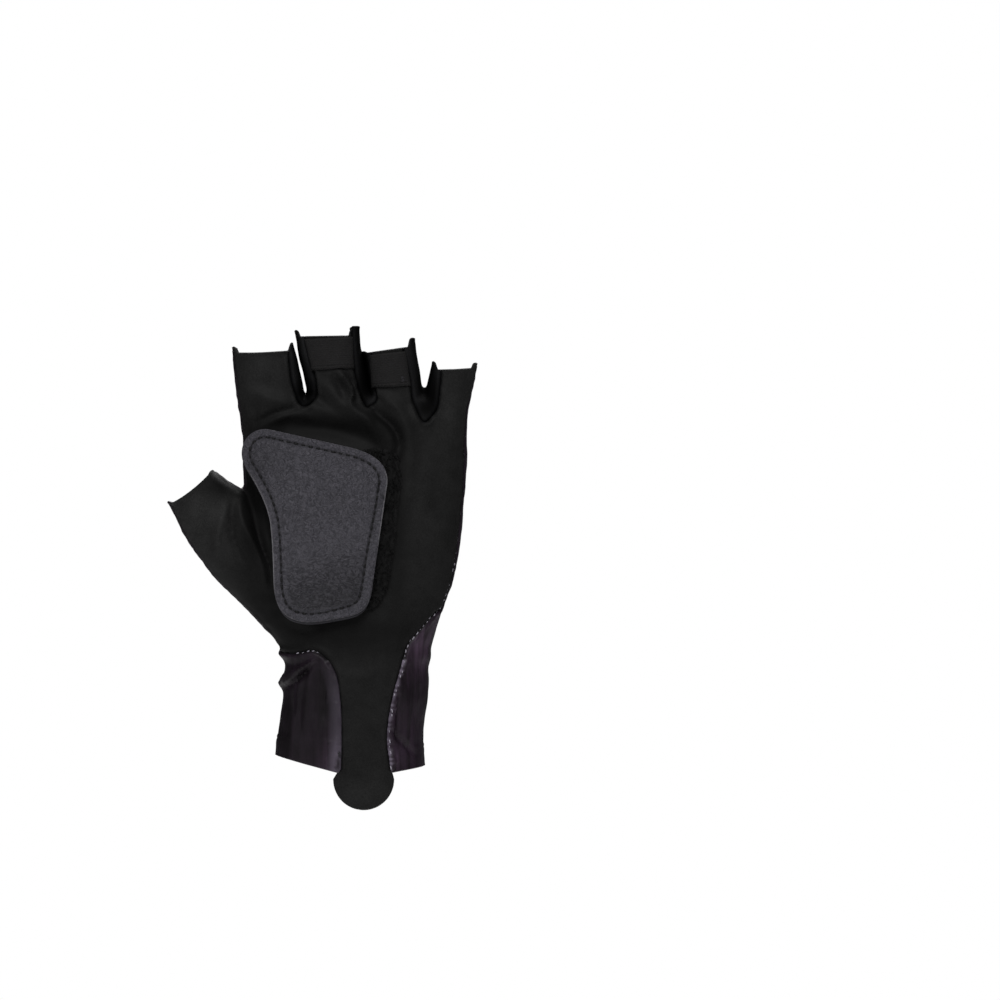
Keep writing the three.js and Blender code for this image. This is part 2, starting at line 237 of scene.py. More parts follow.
def smooth_line(points: Line, spacing: float = 0.7, closed: bool = False) -> np.ndarray:
    """A smooth line through points, in even steps.

    Args:
        points: the points it passes.
        spacing: its step in millimetres.
        closed: whether it returns to its start.

    Returns:
        Its points, without a repeated last one.
    """
    line = np.array(points, float)
    if closed:
        line = np.vstack([line[-2:], line, line[:3]])
    knots = np.r_[0, np.cumsum(np.linalg.norm(np.diff(line, axis=0), axis=1))]
    low, high = (knots[2], knots[-3]) if closed else (knots[0], knots[-1])
    count = max(2, int(round((high - low) / spacing)))
    at = np.linspace(low, high, count + 1)
    return hermite(knots, line, at[:-1] if closed else at)


def ripple(points: np.ndarray, size: float, seed: int) -> np.ndarray:
    """Soft random unevenness between about -1 and 1.

    Args:
        points: where it is read, one row each.
        size: the usual distance between its bumps in millimetres.
        seed: picks one pattern.

    Returns:
        One value for each point.
    """
    rng = np.random.default_rng(seed)
    waves = 9
    direction = rng.normal(size=(waves, points.shape[1]))
    direction /= np.linalg.norm(direction, axis=1, keepdims=True)
    pitch = size * rng.uniform(0.7, 1.6, waves)
    phase = rng.uniform(0, 2 * np.pi, waves)
    return np.sin(points @ direction.T * (2 * np.pi / pitch) + phase).sum(axis=1) / math.sqrt(waves)


def line_distance(points: np.ndarray, line: np.ndarray) -> tuple[np.ndarray, np.ndarray]:
    """Distance of each point from a line and how far along the line it is nearest.

    Args:
        points: one row each.
        line: the line's points, one row each.

    Returns:
        The distances, and the shares of the line's length from 0 to 1.
    """
    lengths = np.linalg.norm(np.diff(line, axis=0), axis=1)
    before = np.r_[0, np.cumsum(lengths)]
    best = np.full(len(points), 1e9)
    share = np.zeros(len(points))
    for i, length in enumerate(lengths):
        along = (line[i + 1] - line[i]) / length
        reach = np.clip((points - line[i]) @ along, 0, length)
        away = np.linalg.norm(points - line[i] - reach[:, None] * along, axis=1)
        closer = away < best
        best[closer] = away[closer]
        share[closer] = (before[i] + reach[closer]) / before[-1]
    return best, share


def read_line(line: Line, at: np.ndarray) -> np.ndarray:
    """Second values of a line's points, read at places between their first values."""
    return np.interp(at, *np.array(line).T)


def face_tree(obj: bpy.types.Object, unit: float = 1.0) -> BVHTree:
    """A search tree of a mesh's faces, in millimetres, for a mesh in units of so many of them."""
    return BVHTree.FromPolygons(
        [tuple(p / unit) for p in coords(obj)], [tuple(p.vertices) for p in obj.data.polygons]
    )


def point_tree(points: Sequence[Sequence[float]]) -> KDTree:
    """A search tree of points, numbered in their order."""
    tree = KDTree(max(1, len(points)))
    for i, point in enumerate(points):
        tree.insert(point, i)
    tree.balance()
    return tree


def object_from(name: str, points: list[np.ndarray], faces: list[tuple[int, ...]]) -> bpy.types.Object:
    """A new object from groups of points and the faces between them."""
    mesh = bpy.data.meshes.new(name)
    mesh.from_pydata(np.vstack(points).tolist(), [], faces)
    obj = bpy.data.objects.new(name, mesh)
    bpy.context.scene.collection.objects.link(obj)
    return obj


def extruded(name: str, outline: np.ndarray, push: tuple[float, float, float]) -> bpy.types.Object:
    """A flat outline pushed into a closed solid.

    Args:
        name: what it is called.
        outline: its points, one row each.
        push: how far it is pushed along each axis.

    Returns:
        The solid.
    """
    select_only(bpy.context.scene.objects[0])
    bpy.ops.mesh.primitive_circle_add(vertices=len(outline), fill_type="NGON")
    obj = bpy.context.object
    obj.name = name
    set_coords(obj, outline)
    edit_all(obj)
    bpy.ops.mesh.extrude_region_move(TRANSFORM_OT_translate={"value": push})
    bpy.ops.mesh.select_all(action="SELECT")
    bpy.ops.mesh.quads_convert_to_tris()
    bpy.ops.mesh.normals_make_consistent(inside=False)
    leave_edit()
    return obj


# Finishes.


def srgb(code: str) -> tuple[float, float, float, float]:
    """Turns an sRGB hex colour into the linear one that shaders take."""
    parts = [int(code[i : i + 2], 16) / 255 for i in (1, 3, 5)]
    linear = [v / 12.92 if v <= 0.04045 else ((v + 0.055) / 1.055) ** 2.4 for v in parts]
    return (*linear, 1.0)


def per_metre(size_mm: float) -> float:
    """Scale of a pattern whose features are this many millimetres apart."""
    return 1000.0 / size_mm


def add_node(
    tree: bpy.types.NodeTree, kind: str, inputs: dict[str | int, Any] | None = None, **settings: Any
) -> bpy.types.Node:
    """Adds a shader node with its settings, values and links.

    Args:
        tree: the material's nodes.
        kind: the node's type.
        inputs: socket name or number to a value, or to the output that feeds it.
        **settings: the node's properties.

    Returns:
        The node.
    """
    made = tree.nodes.new(kind)
    for key, value in settings.items():
        setattr(made, key, value)
    for key, value in (inputs or {}).items():
        if isinstance(value, bpy.types.NodeSocket):
            tree.links.new(value, made.inputs[key])
        else:
            made.inputs[key].default_value = value
    return made


def blank_material(name: str) -> tuple[bpy.types.Material, bpy.types.NodeTree, bpy.types.NodeSocket]:
    """A new material with an empty node tree, and the object coordinates in it."""
    material = bpy.data.materials.new(name)
    material.use_nodes = True
    tree = material.node_tree
    tree.nodes.clear()
    place = add_node(tree, "ShaderNodeTexCoord").outputs["Object"]
    return material, tree, place


def close_material(tree: bpy.types.NodeTree, shader: bpy.types.Node) -> None:
    """Links the shader to the material's output."""
    add_node(tree, "ShaderNodeOutputMaterial", {"Surface": shader.outputs["BSDF"]})


def stored(tree: bpy.types.NodeTree, name: str) -> bpy.types.NodeSocket:
    """A number that the mesh keeps for each of its points."""
    return add_node(tree, "ShaderNodeAttribute", attribute_name=name).outputs["Fac"]


def shaded(tree: bpy.types.NodeTree, colour: bpy.types.NodeSocket) -> bpy.types.NodeSocket:
    """A colour times the mesh's own shade: the painted light and shade that the mesh keeps for each point."""
    return add_node(
        tree, "ShaderNodeVectorMath", {"Vector": colour, "Scale": stored(tree, "shade")}, operation="SCALE"
    ).outputs[0]


def noise(
    tree: bpy.types.NodeTree,
    place: bpy.types.NodeSocket,
    scale: float,
    detail: float = 2.0,
    roughness: float = 0.5,
    distortion: float = 0.0,
) -> bpy.types.NodeSocket:
    """Soft random blotches from 0 to 1."""
    inputs = {"Vector": place, "Scale": scale, "Detail": detail, "Roughness": roughness, "Distortion": distortion}
    return add_node(tree, "ShaderNodeTexNoise", inputs).outputs["Fac"]


def ranged(
    tree: bpy.types.NodeTree,
    value: bpy.types.NodeSocket,
    low: float,
    high: float,
    to_low: float = 0.0,
    to_high: float = 1.0,
) -> bpy.types.NodeSocket:
    """A value whose range from low to high is stretched over another one."""
    inputs = {"Value": value, "From Min": low, "From Max": high, "To Min": to_low, "To Max": to_high}
    return add_node(tree, "ShaderNodeMapRange", inputs).outputs[0]


def blend(
    tree: bpy.types.NodeTree,
    share: bpy.types.NodeSocket,
    first: str | bpy.types.NodeSocket,
    second: str,
) -> bpy.types.NodeSocket:
    """A colour between two others: the first one is a hex code or an output, the second a hex code."""
    colours = {6: srgb(first) if isinstance(first, str) else first, 7: srgb(second)}
    return add_node(tree, "ShaderNodeMix", {"Factor": share, **colours}, data_type="RGBA").outputs[2]


def sum_of(
    tree: bpy.types.NodeTree, first: bpy.types.NodeSocket, weight: float, second: bpy.types.NodeSocket
) -> bpy.types.NodeSocket:
    """The first value times its weight, plus the second one."""
    inputs = {0: first, 1: weight, 2: second}
    return add_node(tree, "ShaderNodeMath", inputs, operation="MULTIPLY_ADD").outputs[0]


def cloth_shader(
    tree: bpy.types.NodeTree,
    colour: bpy.types.NodeSocket,
    roughness: float,
    shine: float,
    relief: tuple[bpy.types.NodeSocket, float, float],
) -> None:
    """Adds the shader with its fine relief and links it to the material's output.

    Args:
        tree: the material's nodes.
        colour: the base colour.
        roughness: the shader's roughness.
        shine: the shader's specular level.
        relief: what gives the relief's height, its strength and its depth in millimetres.
    """
    height, strength, depth = relief
    bump = add_node(tree, "ShaderNodeBump", {"Height": height, "Strength": strength, "Distance": depth * MM})
    values = {"Base Color": colour, "Roughness": roughness, "Specular IOR Level": shine, "Normal": bump.outputs[0]}
    close_material(tree, add_node(tree, "ShaderNodeBsdfPrincipled", values))


@dataclass(frozen=True)
class Microsuede:
    """Synthetic suede: a dense, very short nap, so it looks flat black with a faint bloom and soft mottling."""

    name: str = "microsuede_black"
    dark: str = "#0f0f0f"
    light: str = "#222222"
    # Painted shadow along the seam grooves.
    seam: str = "#080809"
    roughness: float = 0.66
    shine: float = 0.12
    nap_mm: float = 0.45  # coarser than the real nap, so that it shows
    cloud_mm: float = 9.0

    def build(self) -> bpy.types.Material:
        """Makes the material."""
        material, tree, place = blank_material(self.name)
        cloud = noise(tree, place, per_metre(self.cloud_mm), 4.0, 0.6)
        nap = noise(tree, place, per_metre(self.nap_mm), 3.0, 0.7)
        tone = ranged(tree, sum_of(tree, cloud, 0.55, nap), 0.55, 1.05)
        colour = blend(tree, tone, self.dark, self.light)
        # Painted shadow along the seam grooves.
        sewn = blend(tree, stored(tree, "seam"), colour, self.seam)
        cloth_shader(tree, shaded(tree, sewn), self.roughness, self.shine, (nap, 0.35, 0.1))
        return material


@dataclass(frozen=True)
class StretchKnit:
    """Warp-knit stretch cloth: fine upright wales with a soft gloss, dyed plum black with uneven upright streaks."""

    name: str
    dark: str
    light: str
    # Colour of the pale wing edges and of the painted highlight beside the tongue.
    edge: str
    # Painted shadow along the seam grooves.
    seam: str = "#070708"
    streak: float = 1.0  # how strongly the streaks show
    streak_mm: tuple[float, float, float] = (2.6, 2.6, 34.0)
    cloud_mm: float = 22.0
    wale_mm: float = 0.7  # coarser than the real wales, so that they show
    roughness: float = 0.5
    shine: float = 0.4

    def build(self) -> bpy.types.Material:
        """Makes the material."""
        material, tree, place = blank_material(self.name)
        upright = tuple(per_metre(size) for size in self.streak_mm)
        stretched = add_node(tree, "ShaderNodeMapping", {"Vector": place, "Scale": upright})
        streaks = noise(tree, stretched.outputs[0], 1.0, 3.0, 0.6)
        both = sum_of(tree, streaks, self.streak, noise(tree, place, per_metre(self.cloud_mm)))
        tone = ranged(tree, both, 0.5 * self.streak + 0.3, 0.5 * self.streak + 0.72)
        colour = blend(tree, tone, self.dark, self.light)
        # Pale wing edges, and a painted highlight on the left wing beside the tongue.
        edged = blend(tree, stored(tree, "edge"), colour, self.edge)
        # Painted shadow along the seam grooves.
        sewn = blend(tree, stored(tree, "seam"), edged, self.seam)
        wales = add_node(
            tree,
            "ShaderNodeTexWave",
            {"Vector": place, "Scale": per_metre(self.wale_mm) / 20.0, "Distortion": 0.6, "Detail": 1.0},
            wave_type="BANDS",
            bands_direction="X",
        )
        cloth_shader(tree, shaded(tree, sewn), self.roughness, self.shine, (wales.outputs["Fac"], 0.2, 0.06))
        return material


@dataclass(frozen=True)
class GrainedLeather:
    """Split leather with an embossed grain of small crinkled pebbles, satin, with a pale raw cut edge."""

    name: str = "pebbled_leather_charcoal"
    # Grain colour from crease to crown: partly the leather's own grain, partly painted shade in the creases and
    # painted highlights on the crowns.
    crease: str = "#323137"
    crown: str = "#4e4c53"
    raw_edge: str = "#7d7b80"
    # Painted shade in the stitch groove and the pinched notch.
    groove: str = "#29282c"
    pebble_mm: float = 1.5
    wrinkle_mm: float = 1.35
    roughness: float = 0.55
    shine: float = 0.3

    def build(self) -> bpy.types.Material:
        """Makes the material."""
        material, tree, place = blank_material(self.name)
        pebbles = noise(tree, place, per_metre(self.pebble_mm), 2.5, 0.6, 1.8)
        level = (per_metre(1.7 * self.wrinkle_mm), 0.0, per_metre(self.wrinkle_mm))
        stretched = add_node(tree, "ShaderNodeMapping", {"Vector": place, "Scale": level})
        wrinkles = noise(tree, stretched.outputs[0], 1.0, 2.5, 0.6, 1.6)
        deep = ranged(tree, wrinkles, 0.35, 0.65, 0.24, 0.77)
        grain = {"Factor": stored(tree, "wrinkled"), 2: pebbles, 3: deep}
        height = add_node(tree, "ShaderNodeMix", grain).outputs[0]
        # Darker in the grain's creases as painted shade, lighter on its crowns as painted highlights.
        colour = blend(tree, ranged(tree, height, 0.36, 0.64), self.crease, self.crown)
        # Painted shade in the stitch groove and the pinched notch.
        sunk = blend(tree, stored(tree, "groove"), colour, self.groove)
        edged = blend(tree, stored(tree, "raw_edge"), sunk, self.raw_edge)
        cloth_shader(tree, shaded(tree, edged), self.roughness, self.shine, (height, 1.0, 1.0))
        return material


@dataclass(frozen=True)
class Yarn:
    """Spun polyester yarn, as in stitches, elastic, loops and woven tape: dull, a little uneven in tone."""

    name: str
    dark: str
    light: str
    roughness: float = 0.8
    fibre_mm: float = 0.3
    shine: float = 0.25

    def build(self) -> bpy.types.Material:
        """Makes the material."""
        material, tree, place = blank_material(self.name)
        fibre = noise(tree, place, per_metre(self.fibre_mm), 2.0, 0.6)
        colour = blend(tree, ranged(tree, fibre, 0.3, 0.7), self.dark, self.light)
        cloth_shader(tree, colour, self.roughness, self.shine, (fibre, 0.3, 0.08))
        return material


@dataclass(frozen=True)
class MattePaper:
    """Seamless studio paper: pale and quite matte, with a very faint unevenness."""

    name: str = "studio_paper_white"
    colour: str = "#f4f4f4"
    cloud: str = "#fbfbfb"

    def build(self) -> bpy.types.Material:
        """Makes the material."""
        material, tree, place = blank_material(self.name)
        colour = blend(tree, noise(tree, place, per_metre(300.0)), self.colour, self.cloud)
        close_material(tree, add_node(tree, "ShaderNodeBsdfPrincipled", {"Base Color": colour, "Roughness": 0.9}))
        return material


@dataclass
class Wardrobe:
    """The glove's finishes, made once."""

    suede: bpy.types.Material = field(default_factory=Microsuede().build)
    # The knit's fourth colour is its pale wing edge and the painted highlight beside the tongue.
    stretch: bpy.types.Material = field(
        default_factory=StretchKnit("stretch_knit_plum_black", "#150f15", "#2c222d", "#6a6270", shine=0.2).build
    )
    gusset: bpy.types.Material = field(
        default_factory=StretchKnit(
            "stretch_knit_gusset", "#1c1c1d", "#272728", "#272728", streak=0.5, roughness=0.75, shine=0.02
        ).build
    )
    elastic: bpy.types.Material = field(default_factory=Yarn("ribbed_elastic_black", "#121112", "#1a1919").build)
    fleece: bpy.types.Material = field(default_factory=Yarn("loop_fleece_black", "#020202", "#171717", 0.9, 1.2).build)
    hooks: bpy.types.Material = field(default_factory=Yarn("woven_hook_backing_grey", "#27262a", "#37363b").build)
    leather: bpy.types.Material = field(default_factory=GrainedLeather().build)
    grey_thread: bpy.types.Material = field(
        default_factory=Yarn("polyester_thread_grey", "#242326", "#3e3c41", 0.7).build
    )
    black_thread: bpy.types.Material = field(
        default_factory=Yarn("polyester_thread_black", "#070708", "#121214", 0.6).build
    )
    white_thread: bpy.types.Material = field(
        default_factory=Yarn("polyester_thread_white", "#7f7a85", "#bdb8c4", 0.7).build
    )


def hand_over(
    obj: bpy.types.Object,
    name: str,
    material: bpy.types.Material,
    nodes: Sequence[str] = (),
    crease_degrees: float = 50.0,
) -> bpy.types.Object:
    """Brings a modelled piece to metres, dresses it and gives it to the frame.

    Args:
        obj: the piece in millimetres.
        name: what it is called.
        material: its finish.
        nodes: the CAD nodes that it stands for.
        crease_degrees: edges sharper than this stay sharp.

    Returns:
        The piece.
    """
    obj.name = name
    obj.data.name = name
    obj.data.transform(Matrix.Scale(MM, 4))
    obj.data.materials.clear()
    obj.data.materials.append(material)
    obj.data.polygons.foreach_set("material_index", np.zeros(len(obj.data.polygons), np.int32))
    select_only(obj)
    bpy.ops.object.shade_smooth_by_angle(angle=math.radians(crease_degrees))
    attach(obj, "root")
    if nodes:
        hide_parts(*nodes)
    faces = sum(len(p.vertices) - 2 for p in obj.data.polygons)
    LOG.info("%s: %d triangles", name, faces)
    return obj


# The glove's form.


@dataclass(frozen=True)
class Section:
    """A section of a cloth tube: its two outline points seen from the front, and its reach to palm and back."""

    a: Point
    b: Point
    palm: float
    back: float
    lean: float = 0.0


def level(z: float, left: float, right: float, palm: float, back: float) -> Section:
    """A level section of the hand."""
    return Section((left, z), (right, z), palm, back)


HAND = [
    level(-24, -28.0, 30.2, 20.0, 18.5),
    level(-4, -29.3, 29.5, 20.0, 18.5),
    level(8, -28.8, 29.3, 19.7, 18.2),
    level(17, -27.8, 30.1, 19.4, 18.0),
    level(24, -26.8, 31.2, 19.2, 18.0),
    level(31, -26.2, 31.5, 19.0, 18.0),
    level(37, -25.6, 31.0, 18.8, 18.0),
    level(43, -25.7, 31.8, 18.6, 18.0),
    level(51, -26.6, 34.2, 17.8, 17.4),
    level(59, -29.2, 36.8, 17.0, 16.8),
    level(71, -34.2, 41.0, 16.5, 16.0),
    level(85, -38.7, 43.9, 16.0, 15.6),
    level(101, -41.6, 45.6, 15.5, 15.4),
    level(117, -42.8, 46.8, 14.8, 15.0),
    level(130, -42.9, 46.9, 13.8, 13.8),
    level(139, -43.3, 47.0, 12.0, 12.0),
    level(144, -42.6, 46.5, 9.0, 9.0),
    level(146.6, -39.0, 42.0, 4.0, 4.0),
]

THUMB = [
    Section((-23.6, 34.0), (6.0, 40.0), 15.6, 15.0),
    Section((-28.4, 46.0), (1.0, 55.0), 16.4, 16.0),
    Section((-35.2, 54.0), (-8.4, 70.0), 16.4, 15.4, -0.2),
    Section((-43.8, 62.8), (-20.4, 84.8), 15.4, 14.2, -0.6),
    Section((-52.2, 71.2), (-31.4, 97.0), 14.6, 13.0, -1.4),
    Section((-59.8, 80.4), (-41.4, 106.4), 13.0, 11.8, -2.2),
    Section((-66.2, 90.4), (-49.1, 111.6), 11.8, 11.0, -3.0),
    Section((-72.2, 102.2), (-55.7, 116.5), 11.0, 10.6, -4.0),
    Section((-78.0, 113.0), (-62.2, 122.2), 10.8, 10.4, -5.0),
]

INDEX = [
    Section((-37.0, 112), (-14.0, 112), 11.0, 11.0),
    Section((-42.1, 126), (-14.8, 126), 12.2, 12.2),
    Section((-44.3, 140), (-17.2, 140), 11.8, 11.6, -0.3),
    Section((-46.0, 152), (-19.4, 152), 10.8, 10.6, -0.7),
    Section((-46.8, 163), (-21.9, 163), 10.3, 10.2, -1.2),
    Section((-48.0, 174), (-24.6, 174), 10.2, 10.0, -1.6),
]

MIDDLE = [
    Section((-13.0, 112), (7.0, 112), 10.5, 11.0, 0.2),
    Section((-14.2, 126), (8.8, 126), 12.2, 12.4, 0.2),
    Section((-15.8, 140), (8.6, 140), 11.8, 11.8, 0.2),
    Section((-17.9, 152), (6.3, 152), 11.0, 10.8),
    Section((-20.5, 163), (4.5, 163), 10.5, 10.5, -0.2),
    Section((-22.6, 175), (3.8, 175), 10.2, 10.2, -0.5),
    Section((-23.6, 183), (3.4, 183), 10.0, 10.0, -0.8),
]

RING = [
    Section((9.0, 110), (27.0, 110), 10.2, 10.5),
    Section((10.0, 126), (28.8, 126), 11.8, 12.0),
    Section((9.3, 140), (29.0, 140), 11.2, 11.4, -0.1),
    Section((6.8, 152), (28.3, 152), 10.4, 10.3, -0.5),
    Section((4.9, 163), (26.8, 163), 10.0, 9.8, -0.9),
    Section((7.5, 177), (24.8, 177), 9.8, 9.6, -1.4),
]

LITTLE = [
    Section((28.0, 106), (43.0, 106), 9.4, 9.6),
    Section((28.6, 122), (45.9, 122), 10.8, 10.8, -0.2),
    Section((29.0, 136), (47.1, 136), 10.2, 10.0, -0.5),
    Section((30.6, 147), (48.7, 147), 9.4, 9.2, -1.0),
    Section((32.6, 156), (50.5, 156), 9.0, 8.8, -1.6),
    Section((34.6, 167), (52.7, 167), 8.8, 8.6, -2.3),
]


@dataclass(frozen=True)
class Roll:
    """Bunched cloth that runs round the wrist: 180 degrees is the thumb side, 270 the palm, 360 the little finger."""

    z: float
    start: float
    end: float
    rise: float
    height: float
    width: float

    def lift(self, degrees: np.ndarray, z: np.ndarray) -> np.ndarray:
        """How far the roll lifts the cloth at these angles and heights."""
        share = ((degrees - self.start + 720.0) % 360.0) / (self.end - self.start)
        inside = share < 1.0
        share = np.where(inside, share, 0.0)
        away = (z - self.z - self.rise * share) / self.width
        return np.where(inside, self.height * np.sin(np.pi * share) ** 0.7 * np.exp(-away * away), 0.0)


ROLLS = [
    Roll(42.4, 110, 240, 0, 3.0, 2.3),
    Roll(22.0, 112, 256, 19, 2.3, 2.2),
    Roll(38.0, 20, 150, 3, 1.4, 2.8),
    Roll(42.0, 310, 420, -3, 0.9, 2.6),
    Roll(28.0, 30, 130, 4, 0.8, 2.4),
]


FOLD_STRENGTH = 1.5


@dataclass(frozen=True)
class Fold:
    """A fold in the cloth along a line seen from the front: a ridge where height is above 0, else a valley."""

    points: Line
    height: float
    width: float
    side: Side = Side.PALM

    def lift(self, places: np.ndarray) -> np.ndarray:
        """How far the fold lifts the cloth at these [x, z] places."""
        away, share = line_distance(places, smooth_line(self.points, 1.5))
        ends = np.sin(np.pi * np.clip(share, 0.02, 0.98)) ** 0.6
        return FOLD_STRENGTH * self.height * ends * np.exp(-((away / self.width) ** 2))


FOLDS = [
    # Index finger's root, from the pad's top corner up to the crotch.
    Fold([(-39.5, 134.5), (-35, 136.2), (-30.9, 138.2), (-25, 140), (-18.6, 141.4)], -0.9, 1.5),
    Fold([(-40, 147.5), (-34, 145.5), (-28, 143.6), (-21.5, 143)], 0.8, 2.2),
    Fold([(-42, 145), (-39, 141.5), (-38.5, 136.5)], -0.7, 2.2),
    Fold([(-34, 134.8), (-27, 137.3), (-20, 138.2), (-13, 136.6)], 0.7, 1.7),
    Fold([(-43, 152), (-35, 150.5), (-26, 148)], -0.35, 3.0),
    # Middle finger's root: an S that runs down and outwards round the pad.
    Fold([(-5.1, 156), (-0.9, 151.3), (0.9, 147), (0.2, 143), (2.5, 140)], 1.8, 1.3),
    Fold([(-1.5, 155), (2.0, 150.5), (3.0, 146.5)], -1.0, 1.2),
    Fold([(-6.5, 153), (-3.5, 149.5), (-2.4, 145)], -1.1, 1.6),
    Fold(
        [(-13.5, 152.5), (-9.8, 149.8), (-4.8, 145.6), (-1.2, 141.4), (3.5, 138.7), (7.6, 135.9), (11, 130)], 0.8, 2.1
    ),
    Fold([(-15.5, 147), (-11.5, 143.8), (-7, 141), (-3, 138.6)], -0.75, 2.0),
    Fold([(6.8, 143), (10.5, 141), (14.4, 137.7), (18.2, 133.6), (20.1, 128), (19.6, 122.5), (19.3, 116)], -1.7, 1.9),
    Fold([(17.2, 143), (21.6, 138.8), (23.9, 133), (24.4, 126), (24, 114), (22.5, 100)], 0.7, 2.6),
    # Hollow above the pad.
    Fold([(-30, 134.5), (-17, 133.4), (-3.4, 131.6), (6.9, 128), (15.5, 121)], -1.6, 4.0),
    Fold([(-30, 141), (-17, 141.5), (-5, 140.5), (6, 136), (14.5, 128)], 0.7, 3.2),
    # Hollow of the wrist.
    Fold([(-34, 49), (-18, 46), (0, 44), (20, 45), (40, 50)], -0.8, 9.0),
    Fold([(-33, 70), (-36, 62), (-31, 55)], -0.7, 4.5),
    # Ring finger's root.
    Fold([(11.5, 148), (15, 145), (19, 142), (23.5, 137.5)], 0.55, 1.8),
    Fold([(14, 149.3), (19, 147.8), (23.5, 144.2)], -0.4, 1.6),
    # Ball of the thumb: folds that fan down from the crotch.
    Fold([(-44.6, 105.5), (-43.2, 96), (-39.3, 87.6), (-35.4, 79.8), (-33, 70)], 1.5, 1.8),
    Fold([(-46.3, 103), (-47.2, 94.5), (-45.7, 86.5), (-41.9, 78)], -1.3, 1.5),
    Fold([(-48.6, 101.5), (-51.4, 94.5), (-52.8, 87), (-51.5, 80)], 1.0, 1.7),
    Fold([(-41.2, 107), (-37.6, 97), (-34.5, 85.6), (-31.6, 76), (-31, 66)], -1.6, 1.8),
    Fold([(-55.5, 99), (-57, 92), (-56, 86)], -0.8, 2.0),
    Fold([(-33, 66), (-29, 59), (-22, 53), (-12, 50.5)], -0.5, 3.0),
    # Palm's heel and the wrist crease.
    Fold([(-6.5, 39.6), (-2, 37.8), (2, 36.6), (6.4, 39.2)], -0.25, 1.8),
    Fold([(-16, 50.2), (-6, 48.4), (6, 48.8)], 0.12, 2.4),
    Fold([(27, 118), (30, 104), (28, 88), (23, 74)], 0.4, 4.5),
    Fold([(34, 126), (37, 110), (36.5, 95)], -0.35, 4.0),
    # Cuff's left wing: slanting rolls, upright pleats and the rolled edge beside the tongue.
    Fold([(-28.6, 29.4), (-23.3, 32.5), (-17.5, 37.6)], 0.8, 1.3),
    Fold([(-25.3, 28.8), (-18.4, 34.0), (-12.7, 40.2)], -1.0, 0.9),
    Fold([(-24.6, 34.4), (-18, 37.4), (-12.1, 41.1)], 0.7, 0.9),
    Fold([(-26.6, 36.6), (-21, 38.4), (-15.1, 40.9)], -0.6, 1.0),
    Fold([(-9.8, 36), (-9.9, 26), (-9.6, 15)], -0.6, 0.9),
    Fold([(-22.2, 31), (-22.3, 25), (-22, 17)], -0.55, 0.9),
    Fold([(-16, 35), (-16.4, 22), (-15.6, 10)], 0.45, 2.2),
    Fold([(-12.6, 33), (-12.9, 20), (-13.4, 9)], -0.3, 1.0),
    Fold([(-19.5, 27), (-19.8, 17), (-19, 9)], -0.3, 0.9),
    # Cuff's right wing.
    Fold([(19.8, 27), (19.4, 18), (18.6, 8)], -0.8, 0.9),
    Fold([(24.4, 40), (25.6, 24), (25, 6)], -0.4, 1.0),
    Fold([(22.6, 34), (22.9, 20), (22.4, 8)], 0.4, 1.2),
    Fold([(17.4, 11), (22, 6.4), (27.4, 1.0)], -1.0, 1.0),
    Fold([(28, 44), (29, 28), (28.6, 8)], -0.3, 1.2),
    # Back of the hand: tension lines towards the thumb and between the knuckles.
    Fold([(-40, 104), (-30, 96), (-18, 92)], 0.6, 3.5, Side.BACK),
    Fold([(-38, 92), (-28, 84), (-18, 80)], -0.6, 3.5, Side.BACK),
    Fold([(-34, 78), (-24, 70), (-14, 66)], 0.5, 3.2, Side.BACK),
    Fold([(-17, 138), (-15, 124), (-12, 108)], -0.6, 4.0, Side.BACK),
    Fold([(8, 138), (8.4, 124), (8, 108)], -0.6, 4.0, Side.BACK),
    Fold([(29, 132), (27, 120), (24, 106)], -0.55, 4.0, Side.BACK),
    Fold([(-20, 52), (-4, 47), (14, 50), (26, 56)], -0.6, 2.6, Side.BACK),
    Fold([(-22, 58), (-4, 54), (16, 57)], 0.5, 2.6, Side.BACK),
]


@dataclass(frozen=True)
class Tone:
    """A soft-edged patch of painted shade (below 0) or painted light on its cloth, seen from the front."""

    x: float
    z: float
    reach_x: float
    reach_z: float
    strength: float

    def at(self, flat: np.ndarray) -> np.ndarray:
        """Its strength at these [x, z] places."""
        away = ((flat[:, 0] - self.x) / self.reach_x) ** 2 + ((flat[:, 1] - self.z) / self.reach_z) ** 2
        return self.strength * np.exp(-away)


# Painted light and shade on the suede: darker in the hollows round and below the pad and by the thumb's crotch,
# lighter on the thumb and fingers where the light falls.
SUEDE_SHADING = [
    Tone(-8, 133.5, 26, 5.5, -1.6),
    Tone(14, 131, 8, 9, -0.6),
    Tone(-7, 148, 9, 6, -0.1),
    Tone(-58, 95, 16, 18, 0.75),
    Tone(-35, 157, 14, 11, 0.45),
    Tone(42, 142, 9, 18, 0.4),
    Tone(32, 100, 9, 30, 0.2),
    Tone(6, -12, 13, 7, 0.35),
    Tone(0, 50, 24, 8, -0.95),
    Tone(-34, 58, 11, 11, -1.5),
    Tone(-38, 94, 5.5, 20, -1.3),
    Tone(-50, 110, 9, 4, -1.2),
    Tone(19.5, 92, 3.5, 30, -0.6),
]

